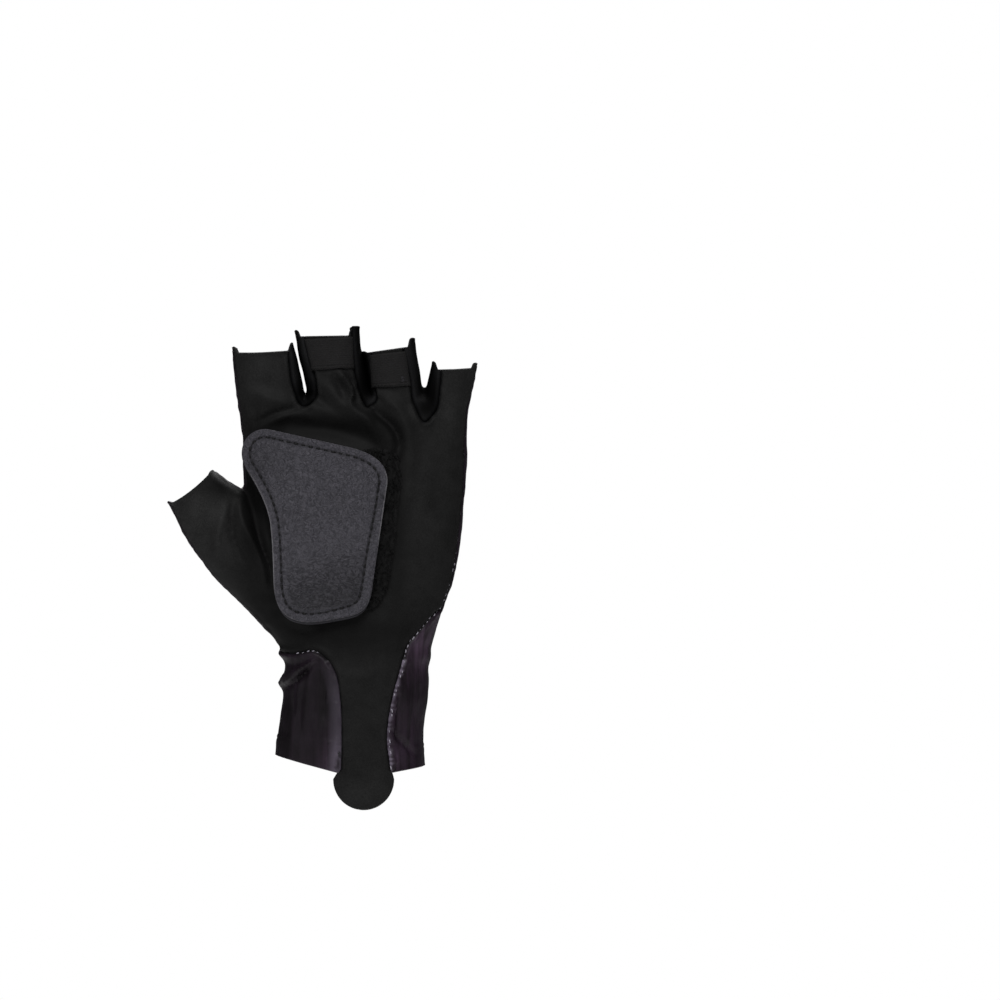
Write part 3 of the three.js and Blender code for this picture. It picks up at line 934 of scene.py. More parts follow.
# Painted light and shade on the knit: darker on the left wing, which faces away from the light, and in its folds and
# slits, lighter on the right wing and on lit rolls.
KNIT_SHADING = [
    Tone(-18, 22, 15, 28, -0.9),
    Tone(-8, 1, 6, 8, 0.7),
    Tone(-25.5, 43.0, 3.5, 1.8, 1.3),
    Tone(-20.5, 30.5, 5.0, 1.6, 0.5),
    Tone(-4.2, -1.5, 0.7, 2.4, -1.5),
    Tone(18.6, 10.5, 0.9, 5.0, -0.6),
    Tone(25.0, 24, 2.5, 14, -0.3),
    Tone(28, 46, 7, 14, 1.3),
    Tone(24, 20, 5, 16, 0.2),
    Tone(19, 1, 3, 5, 0.7),
    Tone(28.5, 3, 2.5, 7, -0.5),
]

# Painted shade down between the fingers, darkest at the bottoms of the crotches.
GUSSET_SHADING = [
    Tone(-17.6, 146, 4.5, 5, -2.2),
    Tone(5.6, 149, 2.6, 10, -1.5),
    Tone(6.0, 160, 1.6, 6, -0.7),
    Tone(33.2, 147, 2.4, 9, -2.0),
    Tone(30.0, 141, 3.0, 4, -1.4),
]


def shade_at(places: np.ndarray, tones: Sequence[Tone]) -> np.ndarray:
    """The painted light and shade of the cloth at places on the palm side, as a factor."""
    total = sum((tone.at(places[:, [0, 2]]) for tone in tones), np.zeros(len(places)))
    return np.exp(total * smooth_step(-places[:, 1], -2.0, 4.0))


@dataclass
class Spread:
    """Opens the gaps between close fingers while the form is remeshed, so that they don't fuse."""

    index_line: Line = ((128, -15.4), (140, -16.5), (152, -18.6), (163, -21.2), (174, -23.1), (190, -25.4))
    ring_line: Line = ((128, 9.4), (140, 8.95), (152, 6.65), (163, 4.85), (175, 3.8), (190, 3.2))
    index_open: float = 1.6
    ring_open: float = 2.2
    parted: float = 1.4  # what stays open beside the ring finger until the cloth is cut
    interlock: float = 1.0  # how far touching fingers lean into each other, so that no light shows between them
    start: float = 126.0
    full: float = 141.0

    def _shares(self, x: np.ndarray, z: np.ndarray, margin: np.ndarray, opened: bool) -> np.ndarray:
        """How far each place moves with its finger, as a signed distance."""
        ramp = smooth_step(z, self.start, self.full)
        index_x, ring_x = read_line(self.index_line, z), read_line(self.ring_line, z)
        left = self.index_open * ramp
        right = self.ring_open * ramp
        if opened:
            left_share = np.clip((index_x + margin - x) / (left + 2 * margin + 1e-9), 0, 1)
            right_share = np.clip((x - ring_x + margin) / (right + 2 * margin + 1e-9), 0, 1)
        else:
            left_share = np.clip((index_x - x) / (2 * margin + 1e-9) + 0.5, 0, 1)
            right_share = np.clip((x - ring_x) / (2 * margin + 1e-9) + 0.5, 0, 1)
        return right * right_share - left * left_share

    def _margin(self, z: np.ndarray) -> np.ndarray:
        """Width over which the body below the crotches shares the move."""
        return 2.0 * (1 - smooth_step(z, 138.0, 146.0))

    def open(self, places: np.ndarray, move: Move) -> np.ndarray:
        """Moves a tube apart from its neighbours.

        Args:
            places: its points.
            move: which way it goes.

        Returns:
            The moved points.
        """
        moved = places.copy()
        ramp = smooth_step(places[:, 2], self.start, self.full)
        if move is Move.BY_LINE:
            moved[:, 0] += self._shares(places[:, 0], places[:, 2], self._margin(places[:, 2]), False)
        elif move is Move.LEFT:
            moved[:, 0] -= self.index_open * ramp
        elif move is Move.RIGHT:
            moved[:, 0] += self.ring_open * ramp
        return moved

    def close(self, places: np.ndarray) -> np.ndarray:
        """Moves the fingers back together, but leaves the ring finger parted from the middle one."""
        moved = places.copy()
        closing = self._shares(places[:, 0], places[:, 2], self._margin(places[:, 2]), True)
        moved[:, 0] -= np.where(closing > 0, closing * (1 - self.parted / self.ring_open), closing)
        return moved

    def part(self, flat: np.ndarray, whole: bool = False) -> np.ndarray:
        """Moves a cut's outline with the parted cloth.

        Args:
            flat: its [x, z] points, as on the finished glove.
            whole: moves all of it with the ring finger.

        Returns:
            The moved points.
        """
        away = flat[:, 0] - read_line(self.ring_line, flat[:, 1])
        share = np.clip(away / (2 * self._margin(flat[:, 1]) + 1e-9) + 0.5, 0, 1)
        gap = self.parted * smooth_step(flat[:, 1], self.start, self.full)
        return np.column_stack([flat[:, 0] + gap * (1.0 if whole else share), flat[:, 1]])

    def settle(self, obj: bpy.types.Object) -> None:
        """Moves cut cloth of the ring finger home, so that it leans on the middle finger."""
        places = coords(obj)
        x, z = places[:, 0], places[:, 2]
        ring_x = read_line(self.ring_line, z)
        margin = self._margin(z)
        gap = self.parted * smooth_step(z, self.start, self.full)
        x = x - gap * np.clip((x - ring_x + margin) / (gap + 2 * margin + 1e-9), 0, 1)
        beside = smooth_step(z, 139, 146) * (1 - smooth_step(z, 159, 165))
        lean = np.sin(np.clip(places[:, 1] / 5.0, -1, 1) * np.pi / 2) * beside
        places[:, 0] = x - self.interlock * lean * np.exp(-(((x - ring_x) / 2.5) ** 2))
        set_coords(obj, places)


@dataclass
class ClothTube:
    """A closed tube of cloth through its sections."""

    name: str
    sections: list[Section]
    roundness: float
    move: Move
    sides: int = 90
    step: float = 1.5
    grow: float = 0.25  # makes up for what smoothing takes off
    relief: Callable[[np.ndarray, np.ndarray], np.ndarray] | None = None

    def build(self, spread: Spread) -> bpy.types.Object:
        """Rolls a grid into the tube and closes its ends.

        Args:
            spread: opens the gaps between fingers.

        Returns:
            The tube, in millimetres.
        """
        table = np.array([[*s.a, *s.b, s.palm, s.back, s.lean] for s in self.sections], float)
        middles = (table[:, 0:2] + table[:, 2:4]) / 2
        knots = np.r_[0, np.cumsum(np.linalg.norm(np.diff(middles, axis=0), axis=1))]
        rings = int(round(knots[-1] / self.step))
        select_only(bpy.context.scene.objects[0])
        bpy.ops.mesh.primitive_grid_add(x_subdivisions=self.sides, y_subdivisions=rings, size=2)
        obj = bpy.context.object
        obj.name = self.name
        flat = coords(obj)
        angle = np.pi * (flat[:, 0] + 1)
        rows = hermite(knots, table, (flat[:, 1] + 1) / 2 * knots[-1])
        left, right = rows[:, 0:2], rows[:, 2:4]
        middle = (left + right) / 2
        across = right - left
        half = np.linalg.norm(across, axis=1) / 2
        across /= 2 * half[:, None]
        lift = np.full(len(flat), self.grow)
        if self.relief:
            lift += self.relief(np.degrees(angle), middle[:, 1])
        cos, sin = np.cos(angle), np.sin(angle)
        power = 2 / self.roundness
        out = (half + lift) * np.sign(cos) * np.abs(cos) ** power
        reach = np.where(sin < 0, rows[:, 4], rows[:, 5]) + lift
        deep = reach * np.sign(sin) * np.abs(sin) ** power
        places = np.column_stack(
            [middle[:, 0] + across[:, 0] * out, rows[:, 6] + deep, middle[:, 1] + across[:, 1] * out]
        )
        set_coords(obj, spread.open(places, self.move))
        edit_all(obj)
        bpy.ops.mesh.remove_doubles(threshold=0.001)
        bpy.ops.mesh.select_all(action="SELECT")
        bpy.ops.mesh.fill_holes(sides=0)
        bpy.ops.mesh.select_all(action="SELECT")
        bpy.ops.mesh.normals_make_consistent(inside=False)
        leave_edit()
        return obj


@dataclass
class GloveForm:
    """The whole glove as one closed form with its folds, before it is cut into panels."""

    spread: Spread
    thumb_crease: Line = ((-44, 103), (-38, 94), (-33, 84), (-29, 72), (-25, 58), (-23, 48))
    finger_roots: Line = ((-42, 137), (-18, 139), (8, 139), (30, 133), (46, 128))

    def _wrist_relief(self, degrees: np.ndarray, z: np.ndarray) -> np.ndarray:
        """Rolls and fine upright wrinkles of the cuff."""
        lift = sum(roll.lift(degrees, z) for roll in ROLLS)
        around = np.column_stack([np.cos(np.radians(degrees)) * 30, np.sin(np.radians(degrees)) * 30, z * 0.12])
        wrinkles = 0.22 * ripple(around, 5.0, SEED) * (1 - smooth_step(z, 38, 60))
        return lift + wrinkles * smooth_step(z, -6, 8)

    def _soften(self, obj: bpy.types.Object, line: Line, width: float, passes: int) -> None:
        """Smooths the form near a crease, but not its outline.

        Args:
            obj: the form.
            line: the crease seen from the front.
            width: reach of the smoothing on both sides.
            passes: how often it is smoothed.
        """
        places = coords(obj)
        away, _ = line_distance(places[:, [0, 2]], smooth_line(line, 2.0))
        weight = (1 - smooth_step(away, width * 0.5, width)) * smooth_step(np.abs(places[:, 1]), 3.0, 8.0)
        group = obj.vertex_groups.new(name="soft")
        for i in np.flatnonzero(weight > 0.01):
            group.add([int(i)], float(weight[i]), "REPLACE")
        apply_modifier(obj, "SMOOTH", vertex_group="soft", iterations=passes, factor=0.5)
        obj.vertex_groups.clear()

    def _fold(self, obj: bpy.types.Object) -> None:
        """Lays the folds and a soft unevenness into the cloth."""
        places, out = coords(obj), normals(obj)
        flat = places[:, [0, 2]]
        lift = 0.16 * ripple(places, 15.0, SEED + 1) + 0.05 * ripple(places, 6.0, SEED + 2)
        for side in Side:
            facing = smooth_step(out[:, 1] * side.value, 0.15, 0.75)
            for fold in (f for f in FOLDS if f.side is side):
                lift = lift + facing * fold.lift(flat)
        set_coords(obj, places + out * lift[:, None])

    def build(self) -> bpy.types.Object:
        """Joins the tubes, softens their creases and folds the cloth."""
        tubes = [
            ClothTube("hand", HAND, 2.5, Move.BY_LINE, 200, 1.3, relief=self._wrist_relief),
            ClothTube("thumb", THUMB, 2.2, Move.BY_LINE),
            ClothTube("index", INDEX, 2.25, Move.LEFT),
            ClothTube("middle", MIDDLE, 2.25, Move.STILL),
            ClothTube("ring", RING, 2.25, Move.RIGHT),
            ClothTube("little", LITTLE, 2.25, Move.RIGHT),
        ]
        built = [tube.build(self.spread) for tube in tubes]
        select_only(*built)
        bpy.ops.object.join()
        form = bpy.context.object
        form.name = "glove_form"
        apply_modifier(form, "REMESH", mode="VOXEL", voxel_size=VOXEL, adaptivity=0.0)
        set_coords(form, self.spread.close(coords(form)))
        apply_modifier(form, "SMOOTH", iterations=3, factor=0.5)
        self._soften(form, self.thumb_crease, 15.0, 60)
        self._soften(form, self.finger_roots, 8.0, 12)
        self._fold(form)
        LOG.info("glove form: %d faces", len(form.data.polygons))
        return form


# Cutting the form into panels.


@dataclass(frozen=True)
class Rim:
    """An opening's rim from a to b: how far it dips between the ears that its two side seams make.

    before and after are how far the cut reaches past a and b, as shares of the rim's length, and the leans move the
    cut's far corners along the rim, so that a neighbouring finger isn't touched.
    """

    a: Point
    b: Point
    dip: float
    ear_a: float
    ear_b: float
    before: float = 0.25
    after: float = 0.25
    wide_a: float = 2.0
    wide_b: float = 2.0
    lean_before: float = 0.0
    lean_after: float = 0.0
    level_b: float = 0.25  # the share of the second ear's width that is level

    def frame(self) -> tuple[np.ndarray, np.ndarray, np.ndarray]:
        """The rim's start, its full length as a vector and its outward direction."""
        start, along = np.array(self.a), np.array(self.b) - np.array(self.a)
        return start, along, np.array([-along[1], along[0]]) / np.linalg.norm(along)

    def height(self, share: np.ndarray) -> np.ndarray:
        """How far the rim stands above its straight line at shares of its length."""
        length = math.dist(self.a, self.b)
        left = self.ear_a * (1 - smooth_step(share * length, 0.25 * self.wide_a, self.wide_a))
        right = self.ear_b * (1 - smooth_step((1 - share) * length, self.level_b * self.wide_b, self.wide_b))
        return left + right - self.dip * 4 * share * (1 - share)

    def beyond(self, far: float = 30.0) -> np.ndarray:
        """Outline of everything beyond the rim."""
        start, along, out = self.frame()
        share = np.sin(np.linspace(0, np.pi / 2, 50)) ** 2
        rim = start + share[:, None] * along + self.height(share)[:, None] * out
        unit = along / np.linalg.norm(along)
        left, right = start - self.before * along, start + (1 + self.after) * along
        far_right = right + far * out + self.lean_after * unit
        far_left = left + far * out + self.lean_before * unit
        return np.vstack([rim, right + self.ear_b * out, far_right, far_left, left + self.ear_a * out])

    def near(self, flat: np.ndarray, reach: float) -> np.ndarray:
        """Which [x, z] places lie on the rim."""
        start, along, out = self.frame()
        length = np.linalg.norm(along)
        share = (flat - start) @ along / length**2
        inside = (share > -0.06) & (share < 1.06)
        return inside & (np.abs((flat - start) @ out - self.height(np.clip(share, 0, 1))) < reach)


RIMS = {
    "index": Rim((-47.0, 162.9), (-21.9, 164.0), 0.5, 2.4, 3.4, after=0.0, wide_b=2.6, lean_after=-7.0),
    "middle": Rim((-22.2, 169.4), (4.2, 170.0), 0.2, 2.6, 3.7, wide_b=3.7, level_b=0.78),
    "ring": Rim((4.9, 162.6), (26.2, 165.6), 0.1, 0.8, 3.4, before=0.046, wide_b=2.6, lean_before=5.4),
    "little": Rim((32.9, 156.2), (51.2, 156.8), 0.3, 3.4, 2.0, wide_a=2.4),
    "thumb": Rim((-72.9, 101.6), (-54.9, 115.6), 1.3, 1.6, 0.4),
}

CROTCHES = {
    "index_middle": [
        (-25.0, 184), (-24.4, 168), (-23.8, 158), (-22.2, 148.8), (-18.4, 141.6), (-13.6, 145.2), (-13.6, 151),
        (-15.8, 160), (-18.2, 170), (-19.4, 184),
    ],
    "middle_ring": [
        (0.6, 184), (1.3, 170), (1.9, 158), (4.2, 147), (7.4, 141.4), (10.2, 144.2), (9.6, 150), (8.9, 160),
        (8.6, 184),
    ],
    "ring_little": [
        (20.8, 184), (22.0, 163), (24.4, 152.5), (26.4, 141.5), (30.4, 135.3), (34.4, 139.4), (36.2, 149),
        (36.8, 158), (37.0, 184),
    ],
}  # fmt: skip

TONGUE_MIDDLE = (6.0, -7.6)
TONGUE_RADIUS = 12.0
THUMB_SIDE_SEAM = [
    (-3.4, -3.4), (-3.2, 8), (-3.7, 24), (-5.4, 34), (-8.8, 40.4), (-13.0, 43.4), (-22.4, 42.6), (-34, 43.6),
    (-60, 43.6), (-90, 43.6),
]  # fmt: skip
LITTLE_SIDE_SEAM = [
    (60, 74), (43, 64.5), (35, 59), (28, 51.2), (24, 46.4), (20.8, 36), (18.4, 27.6), (16.2, 16.4), (15.6, 10),
    (16.8, -3.4),
]  # fmt: skip
HEM_LINE = [(-60, 3.2), (-29.5, 1.8), (-4.4, -4.8), (17, -4.8), (29.5, -2.6), (60, 0)]
HEM_TOP = [(-60, 11.5), (-29.5, 10.2), (-14, 8.6), (-4.4, 7.6), (17, 4.0), (22, 4.6), (29.5, 6.4), (60, 9)]
SIDE_SEAM = [  # the depth of the seam between palm and back, by its place across the glove
    (-95, -10.5), (-72, -8.5), (-46, -5.0), (-30, -4.6), (38, -5.0), (48.2, -4.8), (50.5, -3.0), (70, -3.0),
]  # fmt: skip


@dataclass
class Shears:
    """Cutters that split the form along the seams, and mark the faces that they leave."""

    spread: Spread
    mark: str = "cut"

    def label(self, obj: bpy.types.Object, value: int) -> None:
        """Marks every face of a mesh as the cloth's own (0) or a cutter's (1)."""
        attribute = obj.data.attributes.new(self.mark, "INT", "FACE")
        attribute.data.foreach_set("value", np.full(len(obj.data.polygons), value, np.int32))

    def prism(
        self, name: str, outline: np.ndarray | Line, near: float = -DEEP, far: float = DEEP, whole: bool = False
    ) -> bpy.types.Object:
        """An [x, z] outline as a solid cutter.

        Args:
            name: what it is called.
            outline: its points.
            near: its depth on the palm side.
            far: its depth on the back.
            whole: parts all of it with the ring finger.

        Returns:
            The cutter, marked so that the faces it leaves can be found.
        """
        points = self.spread.part(np.array(outline, float), whole)
        flat = np.column_stack([points[:, 0], np.full(len(points), near), points[:, 1]])
        obj = extruded(name, flat, (0, far - near, 0))
        self.label(obj, 1)
        return obj

    def cut(self, obj: bpy.types.Object, cutter: bpy.types.Object, operation: str) -> None:
        """Cuts an object with a cutter, which stays."""
        apply_modifier(obj, "BOOLEAN", operation=operation, object=cutter, solver="MANIFOLD")

    def open_sheet(self, obj: bpy.types.Object) -> None:
        """Deletes the faces that cutters left, so that only the cloth's face stays."""
        marks = np.empty(len(obj.data.polygons), np.int32)
        obj.data.attributes[self.mark].data.foreach_get("value", marks)
        select_faces(obj, marks == 1)
        bpy.ops.mesh.delete(type="FACE")
        bpy.ops.mesh.select_mode(type="VERT")
        bpy.ops.mesh.select_all(action="SELECT")
        bpy.ops.mesh.remove_doubles(threshold=0.12)
        bpy.ops.mesh.select_all(action="SELECT")
        bpy.ops.mesh.dissolve_degenerate(threshold=0.12)
        bpy.ops.mesh.select_all(action="SELECT")
        bpy.ops.mesh.delete_loose()
        leave_edit()
        self._keep_largest(obj)

    def _keep_largest(self, obj: bpy.types.Object) -> None:
        """Deletes the crumbs that a cut leaves beside a panel."""
        count = len(obj.data.vertices)
        parent = np.arange(count)
        ends = np.array([tuple(e.vertices) for e in obj.data.edges], int)
        for _ in range(count):
            lower = np.minimum(parent[ends[:, 0]], parent[ends[:, 1]])
            before = parent.copy()
            np.minimum.at(parent, ends[:, 0], lower)
            np.minimum.at(parent, ends[:, 1], lower)
            parent = parent[parent]
            if np.array_equal(before, parent):
                break
        names, sizes = np.unique(parent, return_counts=True)
        keep = parent == names[np.argmax(sizes)]
        select_faces(obj, np.array([not keep[p.vertices[0]] for p in obj.data.polygons]))
        bpy.ops.mesh.delete(type="FACE")
        bpy.ops.mesh.select_mode(type="VERT")
        bpy.ops.mesh.select_all(action="SELECT")
        bpy.ops.mesh.delete_loose()
        leave_edit()

    def beyond_rim(self, name: str) -> bpy.types.Object:
        """Everything beyond a finger's opening, with the rim's dip and the ears of its seams."""
        return self.prism(f"beyond_{name}", RIMS[name].beyond(), whole=name in ("ring", "little"))

    def front_of_seam(self) -> bpy.types.Object:
        """Everything on the palm side of the side seams."""
        points = np.array([*SIDE_SEAM, (SIDE_SEAM[-1][0], -DEEP), (SIDE_SEAM[0][0], -DEEP)], float)
        obj = extruded("front_of_seam", np.column_stack([points, np.full(len(points), -40.0)]), (0, 0, 240))
        self.label(obj, 1)
        return obj

    def palm_cutter(self, crotches: list[bpy.types.Object]) -> bpy.types.Object:
        """Everything that the palm panel covers."""
        angles = np.linspace(math.pi, 2 * math.pi, 60)
        arc = np.array(TONGUE_MIDDLE) + TONGUE_RADIUS * np.column_stack([np.cos(angles), np.sin(angles)])
        right = smooth_line(LITTLE_SIDE_SEAM[::-1])
        left = smooth_line(THUMB_SIDE_SEAM[::-1])
        outline = np.vstack([arc, right, [(60, 190), (-90, 190)], left])
        cutter = self.prism("palm_cutter", outline)
        front = self.front_of_seam()
        self.cut(cutter, front, "INTERSECT")
        for crotch in crotches:
            self.cut(cutter, crotch, "DIFFERENCE")
        remove(front)
        return cutter


def boundary(obj: bpy.types.Object) -> np.ndarray:
    """Numbers of the vertices on a sheet's free edges, two for each edge."""
    counts: dict[tuple[int, int], int] = {}
    for polygon in obj.data.polygons:
        for key in polygon.edge_keys:
            counts[key] = counts.get(key, 0) + 1
    return np.array([key for key, count in counts.items() if count == 1], int)


class SmoothNormals:
    """The form's outward directions, averaged so that folds and cut edges don't disturb them."""

    def __init__(self, form: bpy.types.Object) -> None:
        """Keeps the form's points and normals.

        Args:
            form: the whole glove.
        """
        self._normals = normals(form)
        self._tree = point_tree(coords(form))

    def outs(self, sheet: bpy.types.Object) -> np.ndarray:
        """Outward directions at a sheet's points, from the points of the form near them that face the same way.

        Args:
            sheet: cloth cut from the form.

        Returns:
            One direction for each of its points.
        """
        own = normals(sheet)
        found = np.empty_like(own)
        for i, place in enumerate(coords(sheet)):
            near = self._normals[[n[1] for n in self._tree.find_n(place, 10)]]
            same = near[near @ own[i] > 0.2]
            found[i] = same.sum(axis=0) if len(same) else own[i]
        return found / np.maximum(np.linalg.norm(found, axis=1, keepdims=True), 1e-9)


def thicken(obj: bpy.types.Object, outs: np.ndarray, thickness: float) -> None:
    """Makes a sheet into cloth with rounded edges.

    Args:
        obj: the sheet, whose own face stays outside.
        outs: its outward directions.
        thickness: the cloth's.
    """
    places = coords(obj)
    count = len(places)
    faces = [tuple(p.vertices) for p in obj.data.polygons]
    values = {a.name: read_points(obj, a.name) for a in obj.data.attributes if a.data_type == "FLOAT"}
    rim = [(a, b) for face in faces for a, b in zip(face, (*face[1:], face[0]))]
    known = set(rim)
    rim = [(a, b) for a, b in rim if (b, a) not in known]
    away = np.zeros((count, 3))
    for a, b in rim:
        side = np.cross(places[b] - places[a], outs[a] + outs[b])
        away[a] += side
        away[b] += side
    edge = sorted({v for pair in rim for v in pair})
    away = away[edge] / np.maximum(np.linalg.norm(away[edge], axis=1, keepdims=True), 1e-9)
    middle = places[edge] - outs[edge] * thickness / 2 + away * thickness * 0.28
    number = {v: 2 * count + i for i, v in enumerate(edge)}
    faces += [tuple(v + count for v in reversed(face)) for face in faces]
    for a, b in rim:
        faces.append((b, a, number[a], number[b]))
        faces.append((number[b], number[a], a + count, b + count))
    mesh = bpy.data.meshes.new(obj.name)
    mesh.from_pydata(np.vstack([places, places - outs * thickness, middle]).tolist(), [], faces)
    obj.data = mesh
    for name, numbers in values.items():
        store(obj, name, np.r_[numbers, numbers, numbers[edge]])


def loops_of(edges: np.ndarray) -> list[list[int]]:
    """Chains free edges into closed loops of vertex numbers, longest first."""
    following: dict[int, list[int]] = {}
    for a, b in edges:
        following.setdefault(int(a), []).append(int(b))
        following.setdefault(int(b), []).append(int(a))
    left = set(following)
    loops = []
    while left:
        start = min(left)
        loop = [start]
        left.discard(start)
        while True:
            ahead = [v for v in following[loop[-1]] if v in left]
            if not ahead:
                break
            loop.append(ahead[0])
            left.discard(ahead[0])
        loops.append(loop)
    return sorted(loops, key=len, reverse=True)


@dataclass
class Panel:
    """One cut piece of cloth."""

    name: str
    material: bpy.types.Material
    slot: str
    node: str
    form: SmoothNormals
    thickness: float = CLOTH
    groove: float = 0.55
    ridge: float = 0.3
    tones: Sequence[Tone] = ()
    seam_width: float = 0.7
    finer_reach: float = 2.2  # how far from its edges the mesh is made finer
    sewn_reach: float = 5.0  # how far from its edges the sewing shows

    def join_at(self, places: np.ndarray) -> np.ndarray:
        """Which edge points are laid over their neighbour, as True, and which are sewn edge to edge."""
        return np.zeros(len(places), bool)

    def pale_edge_and_highlight(self, place: np.ndarray, away: float) -> float:
        """How much pale edge and painted highlight the cloth gets near an edge that is laid over its neighbour."""
        return 0.0

    def free_at(self, places: np.ndarray) -> np.ndarray:
        """Which edge points are an opening's rim or a free end, as True."""
        flat = places[:, [0, 2]]
        free = np.zeros(len(places), bool)
        for rim in RIMS.values():
            free |= rim.near(flat, 0.3)
        return free | (flat[:, 1] < read_line(HEM_LINE, flat[:, 0]) + 0.4)

    def shade(self, places: np.ndarray) -> np.ndarray:
        """The cloth's painted light and shade, as a factor."""
        return shade_at(places, self.tones)

    def sew_edges(self, obj: bpy.types.Object) -> None:
        """Pulls the sewn edges in, with a soft ridge beside them, on a finer mesh, and stores the painted seam shadow,
        the pale edges with their painted highlight and the painted light and shade.
        """
        edges = boundary(obj)
        places = coords(obj)
        marks = np.vstack([places[edges[:, 0]], (places[edges[:, 0]] + places[edges[:, 1]]) / 2])
        tree = point_tree(marks)
        near = np.array([tree.find(p)[2] < self.finer_reach for p in places])
        select_faces(obj, np.array([near[list(p.vertices)].all() for p in obj.data.polygons]))
        bpy.ops.mesh.subdivide(number_cuts=1)
        leave_edit()
        places = coords(obj)
        out = self.form.outs(obj)
        free = self.free_at(marks)
        lip = self.join_at(marks) & ~free
        lips = point_tree(marks[lip])
        lift = np.zeros(len(places))
        seam, edge = np.zeros(len(places)), np.zeros(len(places))
        for i, place in enumerate(places):
            _, mark, away = tree.find(place)
            if away > self.sewn_reach:
                continue
            if lip.any():
                edge[i] = self.pale_edge_and_highlight(place, lips.find(place)[2])
            # Painted shadow along the sewn seams' grooves.
            if not free[mark] and not lip[mark]:
                seam[i] = math.exp(-((away / self.seam_width) ** 2))
            if free[mark]:
                lift[i] = 0.12 * math.exp(-((away / 0.8) ** 2))
            elif lip[mark]:
                lift[i] = 0.2 * math.exp(-((away / 0.5) ** 2)) + 0.7 * math.exp(-(((away - 1.6) / 1.3) ** 2))
            else:
                lift[i] = -self.groove * math.exp(-((away / 0.6) ** 2))
                lift[i] += self.ridge * math.exp(-(((away - 1.5) / 0.8) ** 2))
        pucker = 1 + 0.35 * ripple(places, 3.5, SEED + 3)
        set_coords(obj, places + out * (lift * pucker)[:, None])
        # For the finishes: painted shadow along the seams, pale edges with a painted highlight beside the tongue, and
        # painted light and shade.
        store(obj, "seam", seam)
        store(obj, "edge", edge)
        store(obj, "shade", self.shade(places))

    def finish(self, obj: bpy.types.Object) -> bpy.types.Object:
        """Gives the sheet its thickness and hands it over."""
        thicken(obj, self.form.outs(obj), self.thickness)
        return hand_over(obj, self.name, self.material, [self.node])


class Gusset(Panel):
    """A strip between two fingers, with painted shade where it runs deeper."""

    def shade(self, places: np.ndarray) -> np.ndarray:
        """The cloth's painted light and shade, as a factor, with more painted shade deeper in the crotch."""
        # Painted shade that deepens towards the back of the crotch.
        return super().shade(places) * np.exp(-2.0 * smooth_step(places[:, 1], -8.5, -2.5))


class BackPanel(Panel):
    """Back of the hand and cuff, with its folded hem and the wings that lie beside the tongue."""

    def join_at(self, places: np.ndarray) -> np.ndarray:
        """The wings' edges beside the tongue stand proud."""
        return (places[:, 1] < -8) & (places[:, 2] < 40)

    def pale_edge_and_highlight(self, place: np.ndarray, away: float) -> float:
        """The left wing has a broad painted highlight beside the tongue, the right one a narrow pale edge."""
        # Painted highlight on the left wing beside the tongue.
        if place[0] < 5:
            fade = min(max((40.0 - place[2]) / 14.0, 0.0), 1.0)
            return 0.42 * fade * math.exp(-((away / 4.2) ** 4))
        # The right wing's own narrow pale edge.
        frayed = 0.5 + 0.5 * math.sin(place[2] * 2.3 + math.sin(place[2] * 0.9) * 2)
        return (0.3 + 0.6 * frayed) * math.exp(-((away / (0.4 + 0.4 * frayed)) ** 2))

    def fold_hem(self, obj: bpy.types.Object) -> None:
        """Raises the folded hem above its stitched line."""
        places = coords(obj)
        out = self.form.outs(obj)
        above = places[:, 2] - read_line(HEM_TOP, places[:, 0])
        step = 0.4 * (1 - smooth_step(above, -1.0, 0.4))
        stitched = -0.22 * np.exp(-((above + 1.5) ** 2) / 0.35)
        set_coords(obj, places + out * (step + stitched)[:, None])


# Stitches.


